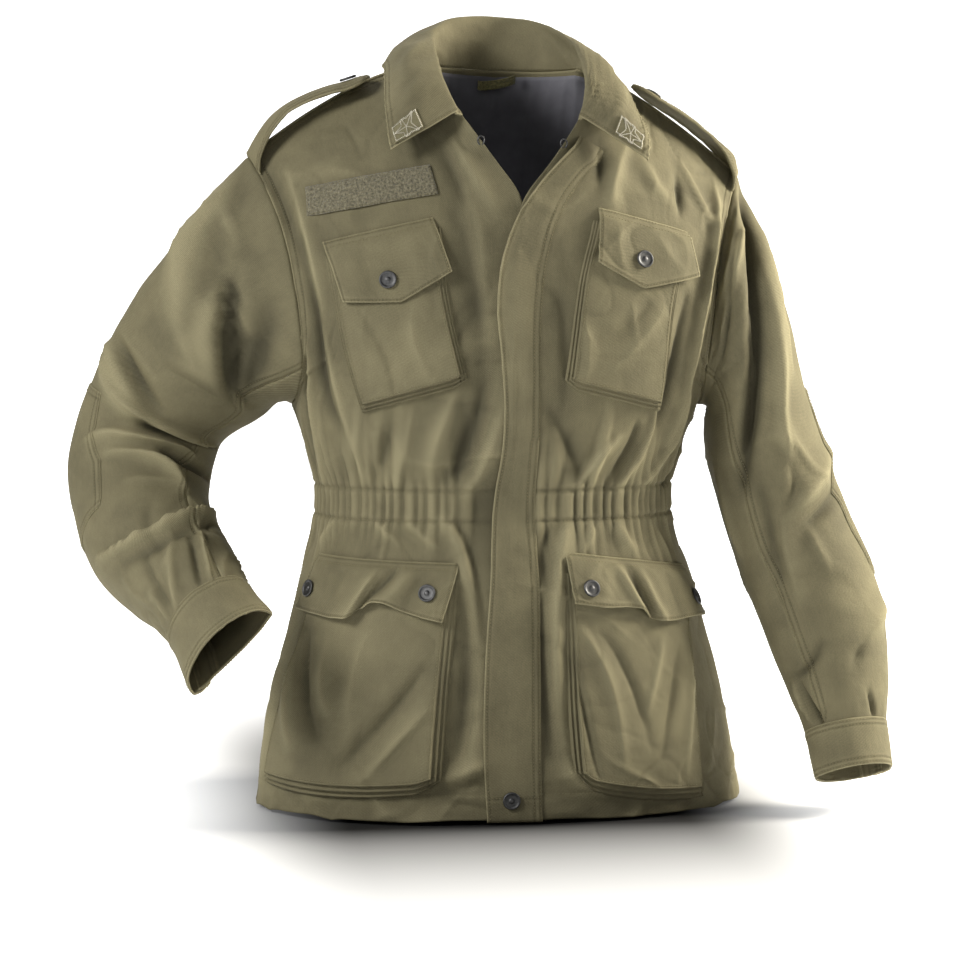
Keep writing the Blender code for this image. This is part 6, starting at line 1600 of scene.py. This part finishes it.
dark_plate = gunmetal()
CAP_POINTS = 48            # points round a cap
SNAP_PROFILE = [
    # radius  height  from the middle of the cap to the foot of its rim
    (0.0, 2.3), (1.3, 2.25), (2.1, 2.0), (2.5, 1.45), (3.0, 1.35), (5.4, 1.55), (6.2, 1.6), (6.9, 2.2),
    (7.6, 2.5), (8.3, 2.2), (8.6, 1.5), (8.5, 0.7), (8.0, 0.1), (6.0, 0.0), (0.0, 0.0),
]


def snap(node, grid, outward, gap=0.5):
    """Turned cap seated on the nearest place of its sheet."""
    middle = node_box(node)[2]
    normals = sheet_normals(grid, outward)
    k = np.unravel_index(np.argmin(np.linalg.norm(grid - middle, axis=2)), grid.shape[:2])
    out = unit(normals[max(k[0] - 3, 0):k[0] + 4, max(k[1] - 3, 0):k[1] + 4].reshape(-1, 3).mean(axis=0))
    seat = grid[k] + out * gap
    flat = (middle - seat) - out * np.dot(middle - seat, out)
    seat = seat + flat * min(1.0, 4.0 / max(np.linalg.norm(flat), 1e-6))
    side = unit(np.cross(out, [0.0, 0.0, 1.0]))
    up = np.cross(side, out)
    turns = np.linspace(0.0, 2 * math.pi, CAP_POINTS + 1)[:-1]
    after = [(k + 1) % CAP_POINTS for k in range(CAP_POINTS)]
    rings = [seat + out * h + r * (np.outer(np.cos(turns), side) + np.outer(np.sin(turns), up))
             for r, h in SNAP_PROFILE[1:-1]]
    points = np.concatenate([[seat + out * SNAP_PROFILE[0][1]]] + rings + [[seat]])
    starts = [1 + CAP_POINTS * ring for ring in range(len(rings))]
    faces = [(0, 1 + after[k], 1 + k) for k in range(CAP_POINTS)]
    for a, b in zip(starts, starts[1:]):
        faces += [(a + k, a + after[k], b + after[k], b + k) for k in range(CAP_POINTS)]
    faces += [(len(points) - 1, starts[-1] + k, starts[-1] + after[k]) for k in range(CAP_POINTS)]
    mesh = bpy.data.meshes.new(f"{node}_cap")
    mesh.from_pydata((points / 1000.0).tolist(), [], faces)
    mesh.materials.append(dark_plate)
    mesh.shade_smooth()
    mesh.update()
    add_piece(f"{node}_cap", mesh, [node])


for side, word in ((-1, "right"), (1, "left")):
    snap(f"chest_snap_{word}", flap_grids["chest", side], side)
    for place in ("inner", "outer"):
        snap(f"lower_snap_{place}_{word}", flap_grids["lower", side], side)
    snap(f"epaulette_snap_{word}", strap_grids[side], side)
    snap(f"cuff_snap_{word}", cuff_grids[side], -side)
snap("placket_snap", strip, 1)


# ================================================================ neck hook and eye
# A hook and an eye of bent, plated wire, sewn inside the open neck edges.

def bent_wire(node, points, radius):
    """Round wire along a run of points."""
    curve = bpy.data.curves.new(f"{node}_wire", "CURVE")
    curve.dimensions = "3D"
    curve.bevel_depth = radius / 1000.0
    curve.bevel_resolution = 4
    curve.use_fill_caps = True
    run = curve.splines.new("POLY")
    run.points.add(len(points) - 1)
    for spot, point in zip(run.points, points):
        spot.co = (*(np.array(point) / 1000.0), 1.0)
    curve.materials.append(dark_plate)
    add_piece(f"{node}_wire", curve, [node])


WIRE = 0.7                 # its radius
turn = np.linspace(-0.4 * math.pi, 1.4 * math.pi, 32)
for node in ("neck_hook", "neck_eye"):
    low, high, middle = node_box(node)
    half = (high - low) / 2 - WIRE
    ring = np.stack([middle[0] + half[0] * np.cos(turn), np.full(len(turn), middle[1]),
                     middle[2] + half[2] * np.sin(turn)], axis=1)
    bent_wire(node, ring, WIRE)


# ================================================================ floor, light and camera
# A roll of white paper, 2.7 m wide, that curves up behind the jacket, lit by softboxes.

def backdrop():
    """Paper on the floor that curves up to a wall, in metres."""
    floor, reach, bend, top = -0.7025, 2.2, 1.5, 5.0
    turns = np.linspace(0.1, math.pi / 2, 16)
    profile = [(-reach, floor), (reach, floor)]
    profile += [(reach + bend * math.sin(q), floor + bend - bend * math.cos(q)) for q in turns] + [(3.7, top)]
    points = [(x, y, z) for x in (-1.1, 1.6) for y, z in profile]
    count = len(profile)
    faces = [(k, k + count, k + count + 1, k + 1) for k in range(count - 1)]
    mesh = bpy.data.meshes.new("studio_paper")
    mesh.from_pydata(points, [], faces)
    mesh.shade_smooth()
    paper, tree, skin, _, place = new_finish("white studio paper")
    # The paper glows behind the jacket to stay white, and a soft painted shadow darkens it under and around the
    # jacket's foot
    split = put(tree, "SeparateXYZ", {"Vector": place})
    across = put(tree, "Math", {0: split.outputs["X"]}, operation="ABSOLUTE").outputs[0]
    glow = put(tree, "MapRange", {"Value": split.outputs["Y"], "From Min": 0.0, "From Max": 1.6,
                                  "To Min": 0.45, "To Max": 1.0}).outputs[0]
    # Painted shadow: strongest just in front of and under the jacket, fading outwards
    near = put(tree, "MapRange", {"Value": split.outputs["Y"], "From Min": -1.2, "From Max": -0.15})
    near = put(tree, "Math", {0: near.outputs[0], 1: 2.0}, operation="POWER").outputs[0]
    shares = {}
    for share, kind, spans in (
            (glow, "LINEAR", ((across, 1.7, 2.6), (split.outputs["Z"], 0.7, 1.5))),
            (near, "SMOOTHSTEP", ((across, 0.16, 0.38), (split.outputs["Y"], 0.2, 1.0)))):
        for value, start, end in spans:
            fall = put(tree, "MapRange", {"Value": value, "From Min": start, "From Max": end,
                                          "To Min": 1.0, "To Max": 0.0}, interpolation_type=kind)
            share = put(tree, "Math", {0: share, 1: fall.outputs[0]}, operation="MULTIPLY").outputs[0]
        shares[kind] = share
    glow, near = shares["LINEAR"], shares["SMOOTHSTEP"]
    left = put(tree, "Math", {0: 1.0, 1: near}, operation="SUBTRACT").outputs[0]
    glow = put(tree, "Math", {0: glow, 1: left}, operation="MULTIPLY").outputs[0]
    # Painted shadow: the paper goes from white towards near black where it lies, and its glow is dimmed there
    shade = put(tree, "Mix", {"Factor": near, 6: tone("#f6f8fb"), 7: tone("#080808")}, data_type="RGBA")
    feed(tree, skin, {"Base Color": shade.outputs[2], "Roughness": 0.9, "Emission Strength": glow,
                      "Emission Color": tone("#ffffff")})
    mesh.materials.append(paper)
    made = bpy.data.objects.new("studio_paper", mesh)
    bpy.context.scene.collection.objects.link(made)


def aim(made, place, target):
    """Set a light or camera at a place, turned to look at its target."""
    look = (Vector(target) - Vector(place)).to_track_quat("-Z", "Y")
    made.matrix_world = Matrix.Translation(place) @ look.to_matrix().to_4x4()
    bpy.context.scene.collection.objects.link(made)


def softbox(name, place, target, size, power, colour="#ffffff"):
    light = bpy.data.lights.new(name, "AREA")
    light.shape = "RECTANGLE"
    light.size, light.size_y = size
    light.energy = power
    light.color = tone(colour)[:3]
    aim(bpy.data.objects.new(name, light), place, target)


backdrop()
softbox("key softbox", (-2.1, -1.1, 0.9), (0.0, 0.0, -0.30), (0.9, 0.9), 64.0, "#fffdf9")
softbox("side softbox", (1.85, 0.0, 0.55), (0.25, 0.0, -0.30), (0.7, 0.8), 105.0, "#fff8ea")
softbox("front softbox", (-0.3, -2.8, 0.6), (0.0, 0.0, -0.35), (1.0, 1.0), 7.0)
softbox("rear softbox", (-0.5, 1.3, 1.5), (-0.1, 0.0, -0.45), (1.6, 0.8), 16.0)
world = bpy.data.worlds.new("studio")
world.use_nodes = True
feed(world.node_tree, world.node_tree.nodes["Background"], {"Color": tone("#ffffff"), "Strength": 0.07})
bpy.context.scene.world = world
bpy.context.scene.view_settings.view_transform = "Standard"

SENSOR = 36.0
STAND_OFF, HALF_VIEW = 3.4, 0.48         # metres from the jacket, and half the width seen there
camera = bpy.data.cameras.new("camera")
camera.sensor_width = camera.sensor_height = SENSOR
camera.lens = SENSOR / 2 / (HALF_VIEW / STAND_OFF)
turn, rise = math.radians(8.0), math.radians(5.0)
target = Vector((-0.019 * math.cos(turn), 0.019 * math.sin(turn), -0.381))
back_off = Vector((-math.sin(turn) * math.cos(rise), -math.cos(turn) * math.cos(rise), math.sin(rise)))
made = bpy.data.objects.new("camera", camera)
aim(made, target + STAND_OFF * back_off, target)
bpy.context.scene.camera = made
